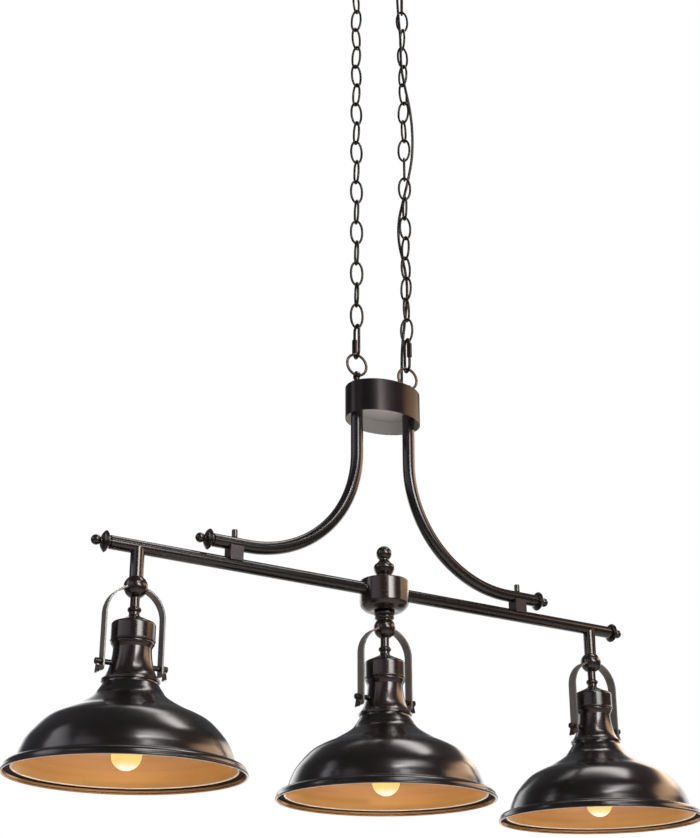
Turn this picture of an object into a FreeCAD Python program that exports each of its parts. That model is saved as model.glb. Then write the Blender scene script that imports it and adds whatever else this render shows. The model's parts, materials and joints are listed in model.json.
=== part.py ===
"""Three-lamp bar pendant: canopy, two chains, junction can, bowed arms, lamp bar and domed shades."""
import os

import FreeCAD
import Part

from math import cos, pi, sin, tan

V = FreeCAD.Vector
X_AXIS = V(1, 0, 0)
Y_AXIS = V(0, 1, 0)
Z_AXIS = V(0, 0, 1)

# Clearances
hang_gap = 0.3             # between hanging links, rings and eyelets
slip_gap = 0.1             # around a tube, spigot or strap in its seat
thread_gap = 0.08          # around a screw in its thread
seat_gap = 0.05            # between clamped faces

# Layout, along X from the middle lamp and up from the lamp bar's axis
lamp_spacing = 434.0
bar_overhang = 42.5        # tube beyond the outer lamp's axis
arm_spacing = 104.0        # between the two arms, chains and eyelet pairs
arm_bend_radius = 200.0
arm_rise = 33.5            # arm's level run above the bar
arm_reach = 310.0          # end of the level run
saddle_setback = 35.0      # saddle's middle in from the end of that run
can_rise = 302.0           # can's lower edge above the bar

# Tubes
tube_diameter = 21.0
tube_wall = 1.6
tube_insert = 12.0         # tube inside the hub
arm_plug = 10.0            # solid end of the arm under the cover
arm_nipple_diameter = 12.0
arm_nipple_bore = 8.0

# Canopy and crossbar
canopy_margin = 13.0       # canopy's edge beyond an eyelet's axis
canopy_depth = 29.0
canopy_corner = 5.0
sheet = 1.5
crossbar_length = 108.0
crossbar_width = 18.0
crossbar_thickness = 2.5
box_hole_spacing = 88.9
box_slot_width = 5.0
box_slot_length = 9.0
knob_spacing = 46.0
knob_diameter = 11.0
knob_height = 9.0
knob_stud_diameter = 4.0

# Junction can
can_margin = 17.0          # can's end beyond an arm's axis
can_width = 98.0
can_height = 58.0
can_corner = 2.5
cover_recess = 24.0        # cover's face above the can's lower edge
cover_edge = 3.0           # cover's upturned edge
cover_bend = 1.2
nut_height = 5.0
arm_nut_diameter = 18.0

# Eyelets
eyelet_rise = 17.0         # hole's axis above the plate
eyelet_post = 11.0
eyelet_head = 15.0
eyelet_thickness = 6.0
eyelet_hole = 8.0
eyelet_collar = 15.0
eyelet_collar_height = 3.5
eyelet_spigot = 8.0
eyelet_nut = 14.0
eyelet_seat = 0.6          # ring's wire over the rim of the hole

# Chains
links_per_chain = 18
link_pitch = 41.7
link_width = 24.5
link_wire = 3.8
quick_link_length = 67.0
quick_link_width = 25.0
quick_link_wire = 5.0
quick_nut_diameter = 9.0
quick_nut_length = 27.0
quick_nut_offset = 6.0     # nut's middle from the link's middle
ring_diameter = 43.0
ring_wire = 4.8
wire_sides = 8
link_bend_steps = 4
quick_bend_steps = 6
ring_steps = 24
link_turn = {"left": -18.0, "right": -51.0}     # a chain's lowest link, from the bar's line
chain_turn = {"left": 61.0, "right": -168.0}    # twist from there to the upper quick link
chain_turn_growth = {"left": 2.2, "right": 1.0}    # above 1, the twist gathers towards the top
lower_quick_turn = {"left": -100.0, "right": 80.0}
upper_quick_turn = {"left": 68.0, "right": -60.0}
lower_nut_end = {"left": -1, "right": 1}    # end of the lower quick link that its nut is nearer to

# Supply cord
cord_diameter = 5.0
bushing_flange = 14.0
bushing_mouth = 12.0
bushing_rise = 9.0
bushing_collar = 2.0

# Saddles
saddle_width = 22.0
saddle_lap = 5.0           # how far the block reaches past a tube's axis side
saddle_bolt_diameter = 6.0
saddle_nut_diameter = 9.6
saddle_nut_height = 12.5

# Turned end finials
finial_collar_length = 6.0
finial_collar_diameter = 17.0
finial_disc_diameter = 33.0
finial_disc_thickness = 8.0
finial_neck_diameter = 9.0
finial_neck_length = 5.0
finial_ball_diameter = 15.6
finial_spigot_length = 8.0

# Hub
hub_diameter = 80.0
hub_top = 18.0
hub_bottom = 21.0
hub_bowl = 13.0
hub_foot_diameter = 38.0
hub_spigot_diameter = 10.0
hub_spigot_length = 8.0
hub_collar_diameter = 35.0
onion_diameter = 34.5
onion_foot_diameter = 27.0
onion_height = 34.0
finial_waist_diameter = 16.0
hub_ball_diameter = 25.5

# Lamps, from the ball and the pin, which are set down from the bar's axis
ball_diameter = 36.0
ball_drop = 62.0
yoke_radius = 45.3
yoke_width = 17.5
yoke_thickness = 2.5
pin_drop = 179.5           # yoke's screws
yoke_foot = 12.5           # strap's end below the pin
stem_diameter = 14.0
stem_bead_diameter = 20.6
stem_bead_rise = 11.0      # bead's middle above the cap
stem_waist_diameter = 16.0
stem_rod_diameter = 10.0
cap_diameter = 65.0
cap_crown_height = 12.0
cap_skirt_height = 26.0
cap_above_pin = 33.5       # cap's lower edge over the pin
neck_bead_diameter = 63.6
neck_bead_height = 6.0
neck_top_diameter = 56.5
neck_sleeve = 10.0         # neck's sleeve up inside the cap
neck_pin_diameter = 62.5
neck_skirt_diameter = 85.0
skirt_below_pin = 25.5
neck_ledge_width = 12.0
skirt_lap = 1.5            # skirt's edge below the shade's top
shade_collar_diameter = 81.0
shade_diameter = 345.0
dome_height = 115.0
flange_width = 18.5
flange_height = 20.0
shade_clamp_depth = 5.0    # straight collar under the neck's skirt
shade_step = 2.0           # raised line where the dome meets the flange
shade_step_height = 1.2
rim_bead = 4.0
rim_round = 1.0
holder_diameter = 42.0
holder_flange_diameter = 56.0
holder_flange_height = 5.0
holder_length = 59.0
bulb_diameter = 43.5
bulb_base_diameter = 26.0
bulb_length = 89.0
bulb_base_length = 24.0
bulb_neck_diameter = 25.0
bulb_rise = 7.5            # bulb's tip above the rim
stud_diameter = 8.0
stud_spigot_diameter = 6.0
stud_spigot_length = 6.0
thumb_shank_diameter = 4.5
thumb_shank_length = 13.0
thumb_head_diameter = 9.6
thumb_head_length = 9.0
thumb_wing_length = 11.5
thumb_wing_root = 5.0
thumb_wing_tip = 13.0
thumb_wing_thickness = 3.6

# Cups that span the two chains
canopy_diameter = arm_spacing + 2 * canopy_margin
can_length = arm_spacing + 2 * can_margin

# Heights, worked down from the ceiling plane at Z = 0
ring_radius = (ring_diameter - ring_wire) / 2
quick_span = quick_link_length - quick_link_wire
link_span = link_pitch + link_wire + hang_gap
ring_to_quick = (ring_wire + quick_link_wire) / 2 + hang_gap
quick_to_link = (quick_link_wire + link_wire) / 2 + hang_gap
eyelet_play = (eyelet_hole - ring_wire) / 2 - eyelet_seat
canopy_eyelet_z = -canopy_depth - eyelet_rise
top_ring_z = canopy_eyelet_z - eyelet_play - ring_radius
top_quick_z = top_ring_z - ring_radius + ring_to_quick - quick_span / 2
first_link_z = top_quick_z - quick_span / 2 + quick_to_link - link_span / 2
last_link_z = first_link_z - (links_per_chain - 1) * link_pitch
bottom_quick_z = last_link_z - link_span / 2 + quick_to_link - quick_span / 2
bottom_ring_z = bottom_quick_z - quick_span / 2 + ring_to_quick - ring_radius
can_eyelet_z = bottom_ring_z - ring_radius - eyelet_play
can_top_z = can_eyelet_z - eyelet_rise
can_bottom_z = can_top_z - can_height
cover_z = can_bottom_z + cover_recess
bar_z = can_bottom_z - can_rise

arm_x = arm_spacing / 2
arm_z = bar_z + arm_rise
bar_end = lamp_spacing + bar_overhang
saddle_reach = arm_reach - saddle_setback
tube_radius = tube_diameter / 2
tube_bore = tube_radius - tube_wall
SIDES = {"left": -1, "right": 1}
LAMPS = {"left": -lamp_spacing, "middle": 0.0, "right": lamp_spacing}

# Levels of a lamp, down from the bar's axis
yoke_drop = pin_drop + yoke_foot
cap_bottom_drop = pin_drop - cap_above_pin
cap_shoulder_drop = cap_bottom_drop - cap_skirt_height
cap_crown_drop = cap_shoulder_drop - cap_crown_height
stem_bead_drop = cap_crown_drop - stem_bead_rise
neck_skirt_drop = pin_drop + skirt_below_pin
shade_top_drop = neck_skirt_drop - skirt_lap
shade_base_drop = shade_top_drop + dome_height
shade_rim_drop = shade_base_drop + flange_height
holder_drop = shade_top_drop + holder_length
shade_base_diameter = shade_diameter - 2 * flange_width

# Dome's bell curve, as shares of its width and height
DOME_CURVE = [
    (0.0, 0.0),
    (0.05, 0.078),
    (0.132, 0.18),
    (0.366, 0.324),
    (0.559, 0.414),
    (0.709, 0.512),
    (0.885, 0.714),
    (0.963, 0.875),
    (1.0, 1.0),
]
# Flange's rounded shoulder under the dome, as shares of its width and height
FLANGE_CURVE = [
    (0.0, 0.0),
    (0.4, 0.14),
    (0.74, 0.38),
    (0.93, 0.68),
    (1.0, 1.0),
]

# Cord's route round the right chain, from inside the canopy down into the can
bushing_depth = sheet + bushing_collar
cord_tail = 3.0            # cord past its bushing
cord_top = V(40, -19, -canopy_depth + bushing_depth + cord_tail)
cord_bottom = V(51, 17, can_top_z - bushing_depth - cord_tail)
CORD_ROUTE = [
    cord_top,
    V(40, -19, -45),
    V(39, -19, -72),
    V(38, -15, -105),
    V(34, -10, -150),
    V(36, -12, -205),
    V(39, -14, -262),
    V(39, -13, -318),
    V(45, -17, -368),
    V(55, -18, -412),
    V(64, -12, -458),
    V(70, -1, -504),
    V(67, 10, -548),
    V(59, 17, -594),
    V(49, 18, -640),
    V(50, 19, -684),
    V(60, 16, -728),
    V(64, 13, -772),
    V(62, 15, -818),
    V(58, 18, -860),
    V(54, 19, -898),
    V(53, 19, -932),
    V(52, 18, -960),
    V(51, 17, -985),
    cord_bottom,
]


class Outline:
    """A closed half profile in radius and height, turned about a vertical axis."""

    def __init__(self, radius, height):
        self.start = V(radius, 0, height)
        self.here = self.start
        self.edges = []

    def line(self, radius, height):
        """Add a straight stretch."""
        end = V(radius, 0, height)
        self.edges.append(Part.LineSegment(self.here, end).toShape())
        self.here = end
        return self

    def arc(self, mid, end):
        """Add an arc through a middle point."""
        last = V(end[0], 0, end[1])
        self.edges.append(Part.Arc(self.here, V(mid[0], 0, mid[1]), last).toShape())
        self.here = last
        return self

    def curve(self, points):
        """Add a smooth curve through the points."""
        through = [self.here] + [V(radius, 0, height) for radius, height in points]
        spline = Part.BSplineCurve()
        spline.interpolate(through)
        self.edges.append(spline.toShape())
        self.here = through[-1]
        return self

    def turned(self):
        """Close the profile and revolve it."""
        if (self.here - self.start).Length > 1e-6:
            self.line(self.start.x, self.start.z)
        face = Part.Face(Part.Wire(self.edges))
        return face.revolve(V(0, 0, 0), Z_AXIS, 360)


def moved(shape, x=0.0, y=0.0, z=0.0):
    """A copy of the shape, moved."""
    copy = shape.copy()
    copy.translate(V(x, y, z))
    return copy


def turned_about(shape, axis, degrees, point=V(0, 0, 0)):
    """A copy of the shape, rotated."""
    copy = shape.copy()
    copy.rotate(point, axis, degrees)
    return copy


def rod(diameter, start, end):
    """A round bar between two points."""
    along = end - start
    return Part.makeCylinder(diameter / 2, along.Length, start, along)


def offset_inwards(points, distance):
    """The points of a profile, each moved square to it towards the axis side."""
    result = []
    for index, (radius, height) in enumerate(points):
        before = points[max(index - 1, 0)]
        after = points[min(index + 1, len(points) - 1)]
        step = V(after[0] - before[0], 0, after[1] - before[1]).normalize()
        result.append((radius + step.z * distance, height - step.x * distance))
    return result


def wire_loop(centres, facings, radius, diameter):
    """A closed upright loop of faceted wire, whose flat sides touch circles of one radius.

    Each side faces an angle in the loop's plane and touches the circle about its own centre height.
    """
    corners = []
    count = len(facings)
    for index in range(count):
        following = (index + 1) % count
        half_turn = ((facings[following] - facings[index]) % (2 * pi)) / 2
        middle = facings[index] + half_turn
        direction = V(cos(middle), 0, sin(middle))
        height = max(centres[index], centres[following], key=abs)
        corners.append((direction, half_turn, direction * (radius / cos(half_turn)) + Z_AXIS * height))
    flat = diameter / 2 / cos(pi / wire_sides)
    rings = []
    for direction, half_turn, corner in corners:
        section = []
        for side in range(wire_sides):
            angle = 2 * pi * (side + 0.5) / wire_sides
            across = direction * (flat * cos(angle) / cos(half_turn))
            section.append(corner + across + Y_AXIS * (flat * sin(angle)))
        rings.append(section)
    faces = []
    for first, second in zip(rings, rings[1:] + rings[:1]):
        for side in range(wire_sides):
            following = (side + 1) % wire_sides
            quad = [first[side], first[following], second[following], second[side], first[side]]
            faces.append(Part.Face(Part.makePolygon(quad)))
    solid = Part.Solid(Part.Shell(faces))
    if solid.Volume < 0:
        solid.reverse()
    return solid


def link(length, width, wire, bend_steps, turn):
    """One link standing upright, turned about its own height."""
    bend = (width - wire) / 2
    straight = (length - wire) / 2 - bend
    centres = []
    facings = []
    for step in range(2 * bend_steps):
        facings.append(pi * step / bend_steps)
        level = step % bend_steps == 0
        centres.append(0.0 if level else straight * (1 if step < bend_steps else -1))
    return turned_about(wire_loop(centres, facings, bend, wire), Z_AXIS, turn)


def ring():
    """A plain wire ring standing in the bar's plane."""
    facings = [2 * pi * step / ring_steps for step in range(ring_steps)]
    return wire_loop([0.0] * ring_steps, facings, ring_radius, ring_wire)


def link_angle(index, side):
    """Turn of a chain's link, counted up from the can: every other one is a quarter turn on."""
    gathered = (index / links_per_chain) ** chain_turn_growth[side]
    return link_turn[side] + 90 * (index % 2) + chain_turn[side] * gathered


def chain(side):
    """All welded links of one chain."""
    links = []
    for index in range(links_per_chain):
        height = last_link_z + index * link_pitch
        shape = link(link_span + link_wire, link_width, link_wire, link_bend_steps, link_angle(index, side))
        links.append(moved(shape, SIDES[side] * arm_x, 0, height))
    return links


def quick_link_places(side):
    """Height, turn and nut end of a chain's lower and upper quick link."""
    lower = (bottom_quick_z, lower_quick_turn[side], lower_nut_end[side])
    upper = (top_quick_z, upper_quick_turn[side], 1)
    return [lower, upper]


def quick_link_bodies(side):
    """The two long opening links of one chain, whose wire stops inside the threaded nut."""
    bodies = []
    leg = (quick_link_width - quick_link_wire) / 2
    for height, turn, nut_end in quick_link_places(side):
        shape = link(quick_link_length, quick_link_width, quick_link_wire, quick_bend_steps, turn)
        sleeve = quick_nut_blank(quick_nut_diameter, leg, nut_end, seat_gap)
        shape = shape.cut(turned_about(sleeve, Z_AXIS, turn))
        core = quick_nut_blank(quick_link_wire, leg, nut_end, seat_gap)
        shape = shape.fuse(turned_about(core, Z_AXIS, turn)).removeSplitter()
        bodies.append(moved(shape, SIDES[side] * arm_x, 0, height))
    return bodies


def quick_nut_blank(diameter, leg, nut_end, end_gap):
    """A round bar in the place of a quick link's nut."""
    middle = nut_end * quick_nut_offset
    half = quick_nut_length / 2 + end_gap
    return rod(diameter, V(-leg, 0, middle - half), V(-leg, 0, middle + half))


def quick_link_nuts(side):
    """The long hexagonal nuts that close a chain's two quick links."""
    nuts = []
    leg = (quick_link_width - quick_link_wire) / 2
    for height, turn, nut_end in quick_link_places(side):
        base = V(-leg, 0, nut_end * quick_nut_offset - quick_nut_length / 2)
        nut = hexagon(quick_nut_diameter, quick_nut_length)
        nut.translate(base)
        nut = nut.cut(quick_nut_blank(quick_link_wire + 2 * thread_gap, leg, nut_end, seat_gap))
        nuts.append(moved(turned_about(nut, Z_AXIS, turn), SIDES[side] * arm_x, 0, height))
    return nuts


def hexagon(across_corners, height):
    """A hexagonal prism standing on the origin."""
    corners = []
    for step in range(7):
        angle = pi * step / 3
        corners.append(V(across_corners / 2 * cos(angle), across_corners / 2 * sin(angle), 0))
    return Part.Face(Part.makePolygon(corners)).extrude(V(0, 0, height))


def eyelet():
    """A ring eyelet standing on a plate at Z = 0, with its spigot down through the plate."""
    spigot_end = sheet + nut_height
    collar = Outline(0, -spigot_end)
    collar.line(eyelet_spigot / 2, -spigot_end).line(eyelet_spigot / 2, 0)
    collar.line(eyelet_collar / 2, 0).line(eyelet_collar / 2, eyelet_collar_height * 0.6)
    shoulder = (eyelet_collar / 2 - 0.7, eyelet_collar_height - 0.4)
    collar.arc(shoulder, (eyelet_post / 2, eyelet_collar_height))
    collar.line(eyelet_post / 2, eyelet_rise).line(0, eyelet_rise)
    post = collar.turned()
    head = Part.makeCylinder(eyelet_head / 2, eyelet_post, V(-eyelet_post / 2, 0, eyelet_rise), X_AXIS)
    whole = post.fuse(head)
    flat_width = (eyelet_post - eyelet_thickness) / 2
    flat_height = eyelet_rise + eyelet_head
    flat_start = eyelet_rise - eyelet_head / 2 - 1.5
    for side in (-1, 1):
        start = eyelet_thickness / 2 if side > 0 else -eyelet_thickness / 2 - flat_width - 1
        slab = Part.makeBox(flat_width + 1, eyelet_head * 2, flat_height, V(start, -eyelet_head, flat_start))
        whole = whole.cut(slab)
    hole = Part.makeCylinder(eyelet_hole / 2, eyelet_head, V(-eyelet_head / 2, 0, eyelet_rise), X_AXIS)
    return whole.cut(hole).removeSplitter()


def eyelet_lock_nut():
    """The nut under an eyelet's plate."""
    nut = hexagon(eyelet_nut, nut_height - 1)
    bore = Part.makeCylinder(eyelet_spigot / 2 + thread_gap, nut_height)
    return moved(nut.cut(bore), 0, 0, -sheet - nut_height + 1)


def eyelet_pair(build, plate_z, upwards):
    """Two eyelets, or their nuts, on a plate, pointing up or down."""
    pieces = []
    for side in SIDES.values():
        piece = build()
        if not upwards:
            piece = turned_about(piece, X_AXIS, 180)
        pieces.append(moved(piece, side * arm_x, 0, plate_z))
    return pieces


def drum(diameter, height, corner):
    """A round spun cup on Z = 0 with an open bottom, a closed top and a rounded top edge."""
    radius = diameter / 2
    inner = radius - sheet
    bend = corner * (1 - cos(pi / 4))
    inner_corner = max(corner - sheet, 0.4)
    inner_bend = inner_corner * (1 - cos(pi / 4))
    outline = Outline(0, height)
    outline.line(radius - corner, height).arc((radius - bend, height - bend), (radius, height - corner))
    outline.line(radius, 0).line(inner, 0).line(inner, height - sheet - inner_corner)
    outline.arc((inner - inner_bend, height - sheet - inner_bend), (inner - inner_corner, height - sheet))
    outline.line(0, height - sheet)
    return outline.turned()


def plate_holes(z, cord_place):
    """The bars that cut a plate's eyelet and cord holes."""
    low = z - 4 * sheet
    depth = 8 * sheet
    cuts = []
    for side in SIDES.values():
        cuts.append(Part.makeCylinder(eyelet_spigot / 2 + slip_gap, depth, V(side * arm_x, 0, low)))
    cuts.append(Part.makeCylinder(bushing_mouth / 2 + slip_gap, depth, V(cord_place.x, cord_place.y, low)))
    return cuts


def canopy_cup():
    """The ceiling cup, hung with its open side up."""
    cup = turned_about(drum(canopy_diameter, canopy_depth, canopy_corner), X_AXIS, 180)
    for cut in plate_holes(-canopy_depth, cord_top):
        cup = cup.cut(cut)
    hole = knob_stud_diameter / 2 + slip_gap
    for side in SIDES.values():
        place = V(side * knob_spacing / 2, 0, -canopy_depth - 4 * sheet)
        cup = cup.cut(Part.makeCylinder(hole, 8 * sheet, place))
    return cup


def crossbar():
    """The strap that screws to the ceiling box, with its slots and the studs' tapped holes."""
    bar = Part.makeBox(crossbar_length, crossbar_width, crossbar_thickness,
                       V(-crossbar_length / 2, -crossbar_width / 2, -crossbar_thickness))
    uprights = [edge for edge in bar.Edges if edge.Length < crossbar_thickness + 0.01]
    bar = bar.makeFillet(crossbar_width / 3, uprights)
    travel = box_slot_length - box_slot_width
    depth = 3 * crossbar_thickness
    for side in SIDES.values():
        middle = side * box_hole_spacing / 2
        corner = V(middle - travel / 2, -box_slot_width / 2, -depth / 2)
        slot = Part.makeBox(travel, box_slot_width, depth, corner)
        for end in (-travel / 2, travel / 2):
            slot = slot.fuse(Part.makeCylinder(box_slot_width / 2, depth, V(middle + end, 0, -depth / 2)))
        bar = bar.cut(slot.removeSplitter())
        stud = knob_stud_diameter / 2 + thread_gap
        bar = bar.cut(Part.makeCylinder(stud, depth, V(side * knob_spacing / 2, 0, -depth / 2)))
    return bar


def canopy_studs():
    """The two studs that hang from the crossbar and pass down through the canopy."""
    low = -canopy_depth - knob_height * 0.7
    return [rod(knob_stud_diameter, V(side * knob_spacing / 2, 0, low), V(side * knob_spacing / 2, 0, 0))
            for side in SIDES.values()]


def canopy_knobs():
    """The two turned knobs that draw the canopy up to the ceiling."""
    radius = knob_diameter / 2
    bore = knob_stud_diameter / 2 + thread_gap
    outline = Outline(bore, 0)
    outline.line(radius, 0).line(radius, -knob_height * 0.45)
    outline.arc((radius * 0.8, -knob_height * 0.85), (radius * 0.35, -knob_height)).line(0, -knob_height)
    outline.line(0, -knob_height * 0.75).line(bore, -knob_height * 0.75)
    knob = outline.turned()
    return [moved(knob, side * knob_spacing / 2, 0, -canopy_depth) for side in SIDES.values()]


def cord_bushing(place, plate_z, upwards):
    """A flared strain relief that guides the cord through a plate."""
    flange = bushing_flange / 2
    mouth = bushing_mouth / 2
    throat = cord_diameter / 2 + hang_gap
    inside = -bushing_depth
    outline = Outline(throat, inside)
    outline.line(mouth, inside).line(mouth, 0).line(flange, 0).line(flange, bushing_collar)
    outline.line(mouth, bushing_collar + 1).line(mouth - 0.6, bushing_rise)
    outline.line(mouth - 1.6, bushing_rise)
    outline.arc((throat + 0.4, bushing_rise * 0.55), (throat, bushing_rise * 0.2))
    piece = outline.turned()
    if not upwards:
        piece = turned_about(piece, X_AXIS, 180)
    return moved(piece, place.x, place.y, plate_z)


def oval(length, width, height, z):
    """An upright prism on an ellipse that is longest along the bar."""
    ellipse = Part.Ellipse(V(0, 0, z), length / 2, width / 2)
    return Part.Face(Part.Wire(ellipse.toShape())).extrude(V(0, 0, height))


def can_shell():
    """The oval drum over the arms, closed on top and open below."""
    shell = oval(can_length, can_width, can_height, can_bottom_z)
    top_edges = [edge for edge in shell.Edges if edge.BoundBox.ZMin > can_top_z - can_corner]
    shell = shell.makeFillet(can_corner, top_edges)
    wall = 2 * sheet
    shell = shell.cut(oval(can_length - wall, can_width - wall, can_height - sheet, can_bottom_z))
    for cut in plate_holes(can_top_z, cord_bottom):
        shell = shell.cut(cut)
    return shell


def can_cover():
    """The flat cover pressed up inside the drum, with an upturned edge and the arms' holes."""
    seat = 2 * (sheet + slip_gap)
    length = can_length - seat
    width = can_width - seat
    cover = oval(length, width, sheet + cover_edge, cover_z)
    low_edges = [edge for edge in cover.Edges if edge.BoundBox.ZMax < cover_z + cover_bend]
    cover = cover.makeFillet(cover_bend, low_edges)
    cover = cover.cut(oval(length - 2 * sheet, width - 2 * sheet, sheet + cover_edge, cover_z + sheet))
    for side in SIDES.values():
        place = V(side * arm_x, 0, cover_z - sheet)
        cover = cover.cut(Part.makeCylinder(arm_nipple_diameter / 2 + slip_gap, 4 * sheet, place))
    return cover


def arm_path(side):
    """Centre line of one arm: down from the can's cover, round the bow and out along the bar."""
    sign = SIDES[side]
    bend = arm_bend_radius
    top = V(sign * arm_x, 0, cover_z)
    bow_start = V(sign * arm_x, 0, arm_z + bend)
    centre = V(sign * (arm_x + bend), 0, arm_z + bend)
    bow_mid = centre + V(-sign * bend * cos(pi / 4), 0, -bend * sin(pi / 4))
    bow_end = V(sign * (arm_x + bend), 0, arm_z)
    end = V(sign * arm_reach, 0, arm_z)
    return Part.Wire([
        Part.LineSegment(top, bow_start).toShape(),
        Part.Arc(bow_start, bow_mid, bow_end).toShape(),
        Part.LineSegment(bow_end, end).toShape(),
    ])


def bent_bar(path, radius):
    """A round bar along a path that starts straight down."""
    start = path.OrderedVertexes[0].Point
    section = Part.Wire(Part.makeCircle(radius, start, Z_AXIS))
    return path.makePipeShell([section], True, False)


def arm(side):
    """One bowed tube with a threaded nipple in its top end, drilled for its saddle bolt."""
    path = arm_path(side)
    tube = bent_bar(path, tube_radius).cut(bent_bar(path, tube_bore))
    low = cover_z - arm_plug
    nipple = arm_nipple_diameter / 2
    bore = arm_nipple_bore / 2
    nipple_top = cover_z + sheet + nut_height + 1
    outline = Outline(bore, low).line(tube_radius, low).line(tube_radius, cover_z)
    outline.line(nipple, cover_z).line(nipple, nipple_top).line(bore, nipple_top)
    plug = moved(outline.turned(), SIDES[side] * arm_x)
    return tube.fuse(plug).removeSplitter().cut(saddle_drill(side))


def arm_nuts():
    """The nuts that hold the arms' nipples inside the can."""
    nuts = []
    for side in SIDES.values():
        nut = turned_about(hexagon(arm_nut_diameter, nut_height), Z_AXIS, 30)
        nut = nut.cut(Part.makeCylinder(arm_nipple_diameter / 2 + thread_gap, nut_height))
        nuts.append(moved(nut, side * arm_x, 0, cover_z + sheet))
    return nuts


def saddle_drill(side):
    """The hole for a saddle's bolt, through the arm, the block and the top of the bar."""
    x = SIDES[side] * saddle_reach
    return rod(saddle_bolt_diameter + 2 * slip_gap, V(x, 0, bar_z), V(x, 0, arm_z + tube_diameter))


def saddle(side):
    """A square block with a round seat for the arm above and for the bar below."""
    x = SIDES[side] * saddle_reach
    half = saddle_width / 2
    low = bar_z + saddle_lap
    block = Part.makeBox(saddle_width, saddle_width, arm_rise - 2 * saddle_lap, V(x - half, -half, low))
    seat = 2 * (tube_radius + slip_gap)
    for height in (bar_z, arm_z):
        block = block.cut(rod(seat, V(x - saddle_width, 0, height), V(x + saddle_width, 0, height)))
    return block.cut(saddle_drill(side))


def saddle_bolt(side):
    """A stud through arm, block and bar, with a barrel nut on top of the arm."""
    x = SIDES[side] * saddle_reach
    seat = arm_z + tube_radius + slip_gap
    top = seat + saddle_nut_height
    radius = saddle_nut_diameter / 2
    shank = saddle_bolt_diameter / 2
    outline = Outline(0, bar_z + tube_bore / 2)
    outline.line(shank, bar_z + tube_bore / 2).line(shank, seat).line(radius, seat).line(radius, top - 1)
    outline.line(radius - 1, top).line(0, top)
    return moved(outline.turned(), x)


def end_finial():
    """A turned end: spigot, collar, sharp-edged disc, neck and ball, standing up from the tube's end."""
    collar = finial_collar_diameter / 2
    disc = finial_disc_diameter / 2
    neck = finial_neck_diameter / 2
    ball = finial_ball_diameter / 2
    spigot = tube_bore - slip_gap
    disc_low = finial_collar_length
    disc_high = disc_low + finial_disc_thickness
    edge = disc_low + finial_disc_thickness * 0.42
    ball_z = disc_high + finial_neck_length * 0.3 + ball
    join = (ball ** 2 - neck ** 2) ** 0.5
    outline = Outline(0, -finial_spigot_length)
    outline.line(spigot, -finial_spigot_length).line(spigot, 0).line(tube_radius, 0)
    outline.line(tube_radius, finial_collar_length * 0.3).line(collar, finial_collar_length * 0.5)
    outline.line(collar, disc_low)
    outline.arc((disc * 0.86, disc_low + finial_disc_thickness * 0.12), (disc, edge))
    outline.arc((disc * 0.8, disc_high - finial_disc_thickness * 0.2), (neck, disc_high))
    outline.line(neck, ball_z - join)
    outline.arc((ball, ball_z), (0, ball_z + ball))
    return outline.turned()


def finial_pair(x, z):
    """Two end finials facing outwards along X."""
    pieces = []
    for sign in (-1, 1):
        pieces.append(moved(turned_about(end_finial(), Y_AXIS, sign * 90), sign * x, 0, z))
    return pieces


def bar(side):
    """Half of the lamp bar, from inside the hub to its finial, with the holes that it carries."""
    sign = SIDES[side]
    inner = hub_diameter / 2 - tube_insert
    start = V(sign * inner, 0, bar_z)
    end = V(sign * bar_end, 0, bar_z)
    tube = rod(tube_diameter, start, end).cut(rod(2 * tube_bore, start, end))
    return tube.cut(saddle_drill(side))


def hub_body():
    """The turned drum in the middle of the bar, bored for the two tubes and the two spigots."""
    radius = hub_diameter / 2
    foot = hub_foot_diameter / 2
    low = bar_z - hub_bottom
    bottom = low - hub_bowl
    crown = bar_z + hub_top
    outline = Outline(0, crown + 2)
    outline.line(onion_foot_diameter / 2 + 2, crown + 2).line(radius - 3, crown)
    outline.arc((radius - 0.9, crown - 0.9), (radius, crown - 3)).line(radius, low)
    outline.arc((radius * 0.84, low - hub_bowl * 0.72), (foot, bottom)).line(0, bottom)
    body = outline.turned()
    reach = radius - tube_insert - slip_gap
    for sign in SIDES.values():
        place = V(sign * reach, 0, bar_z)
        body = body.cut(rod(tube_diameter + 2 * slip_gap, place, V(sign * hub_diameter, 0, bar_z)))
    spigot = hub_spigot_diameter + 2 * slip_gap
    depth = hub_spigot_length + slip_gap
    body = body.cut(rod(spigot, V(0, 0, crown + 2 - depth), V(0, 0, crown + 3)))
    return body.cut(rod(spigot, V(0, 0, bottom - 1), V(0, 0, bottom + depth)))


def hub_finial():
    """Onion, waist and ball on top of the hub."""
    base = bar_z + hub_top + 2
    foot = onion_foot_diameter / 2
    onion = onion_diameter / 2
    waist = finial_waist_diameter / 2
    ball = hub_ball_diameter / 2
    waist_z = base + onion_height
    ball_z = waist_z + (ball ** 2 - waist ** 2) ** 0.5 + 1.5
    outline = Outline(0, base - hub_spigot_length)
    outline.line(hub_spigot_diameter / 2, base - hub_spigot_length).line(hub_spigot_diameter / 2, base)
    outline.line(foot, base).arc((foot + 1.6, base + 3), (foot, base + 6))
    outline.line(foot - 1.5, base + 8)
    outline.curve([(onion - 0.6, base + 17), (onion, base + 22), (onion - 3.2, base + 27)])
    outline.curve([(waist + 2.5, waist_z - 3.5), (waist, waist_z)])
    outline.line(waist, ball_z - (ball ** 2 - waist ** 2) ** 0.5)
    outline.arc((ball, ball_z), (0, ball_z + ball))
    return outline.turned()


def ball_clearance(x):
    """The space that a lamp's ball takes from the pieces that meet it."""
    return Part.makeSphere(ball_diameter / 2 + slip_gap, V(x, 0, bar_z - ball_drop))


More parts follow.
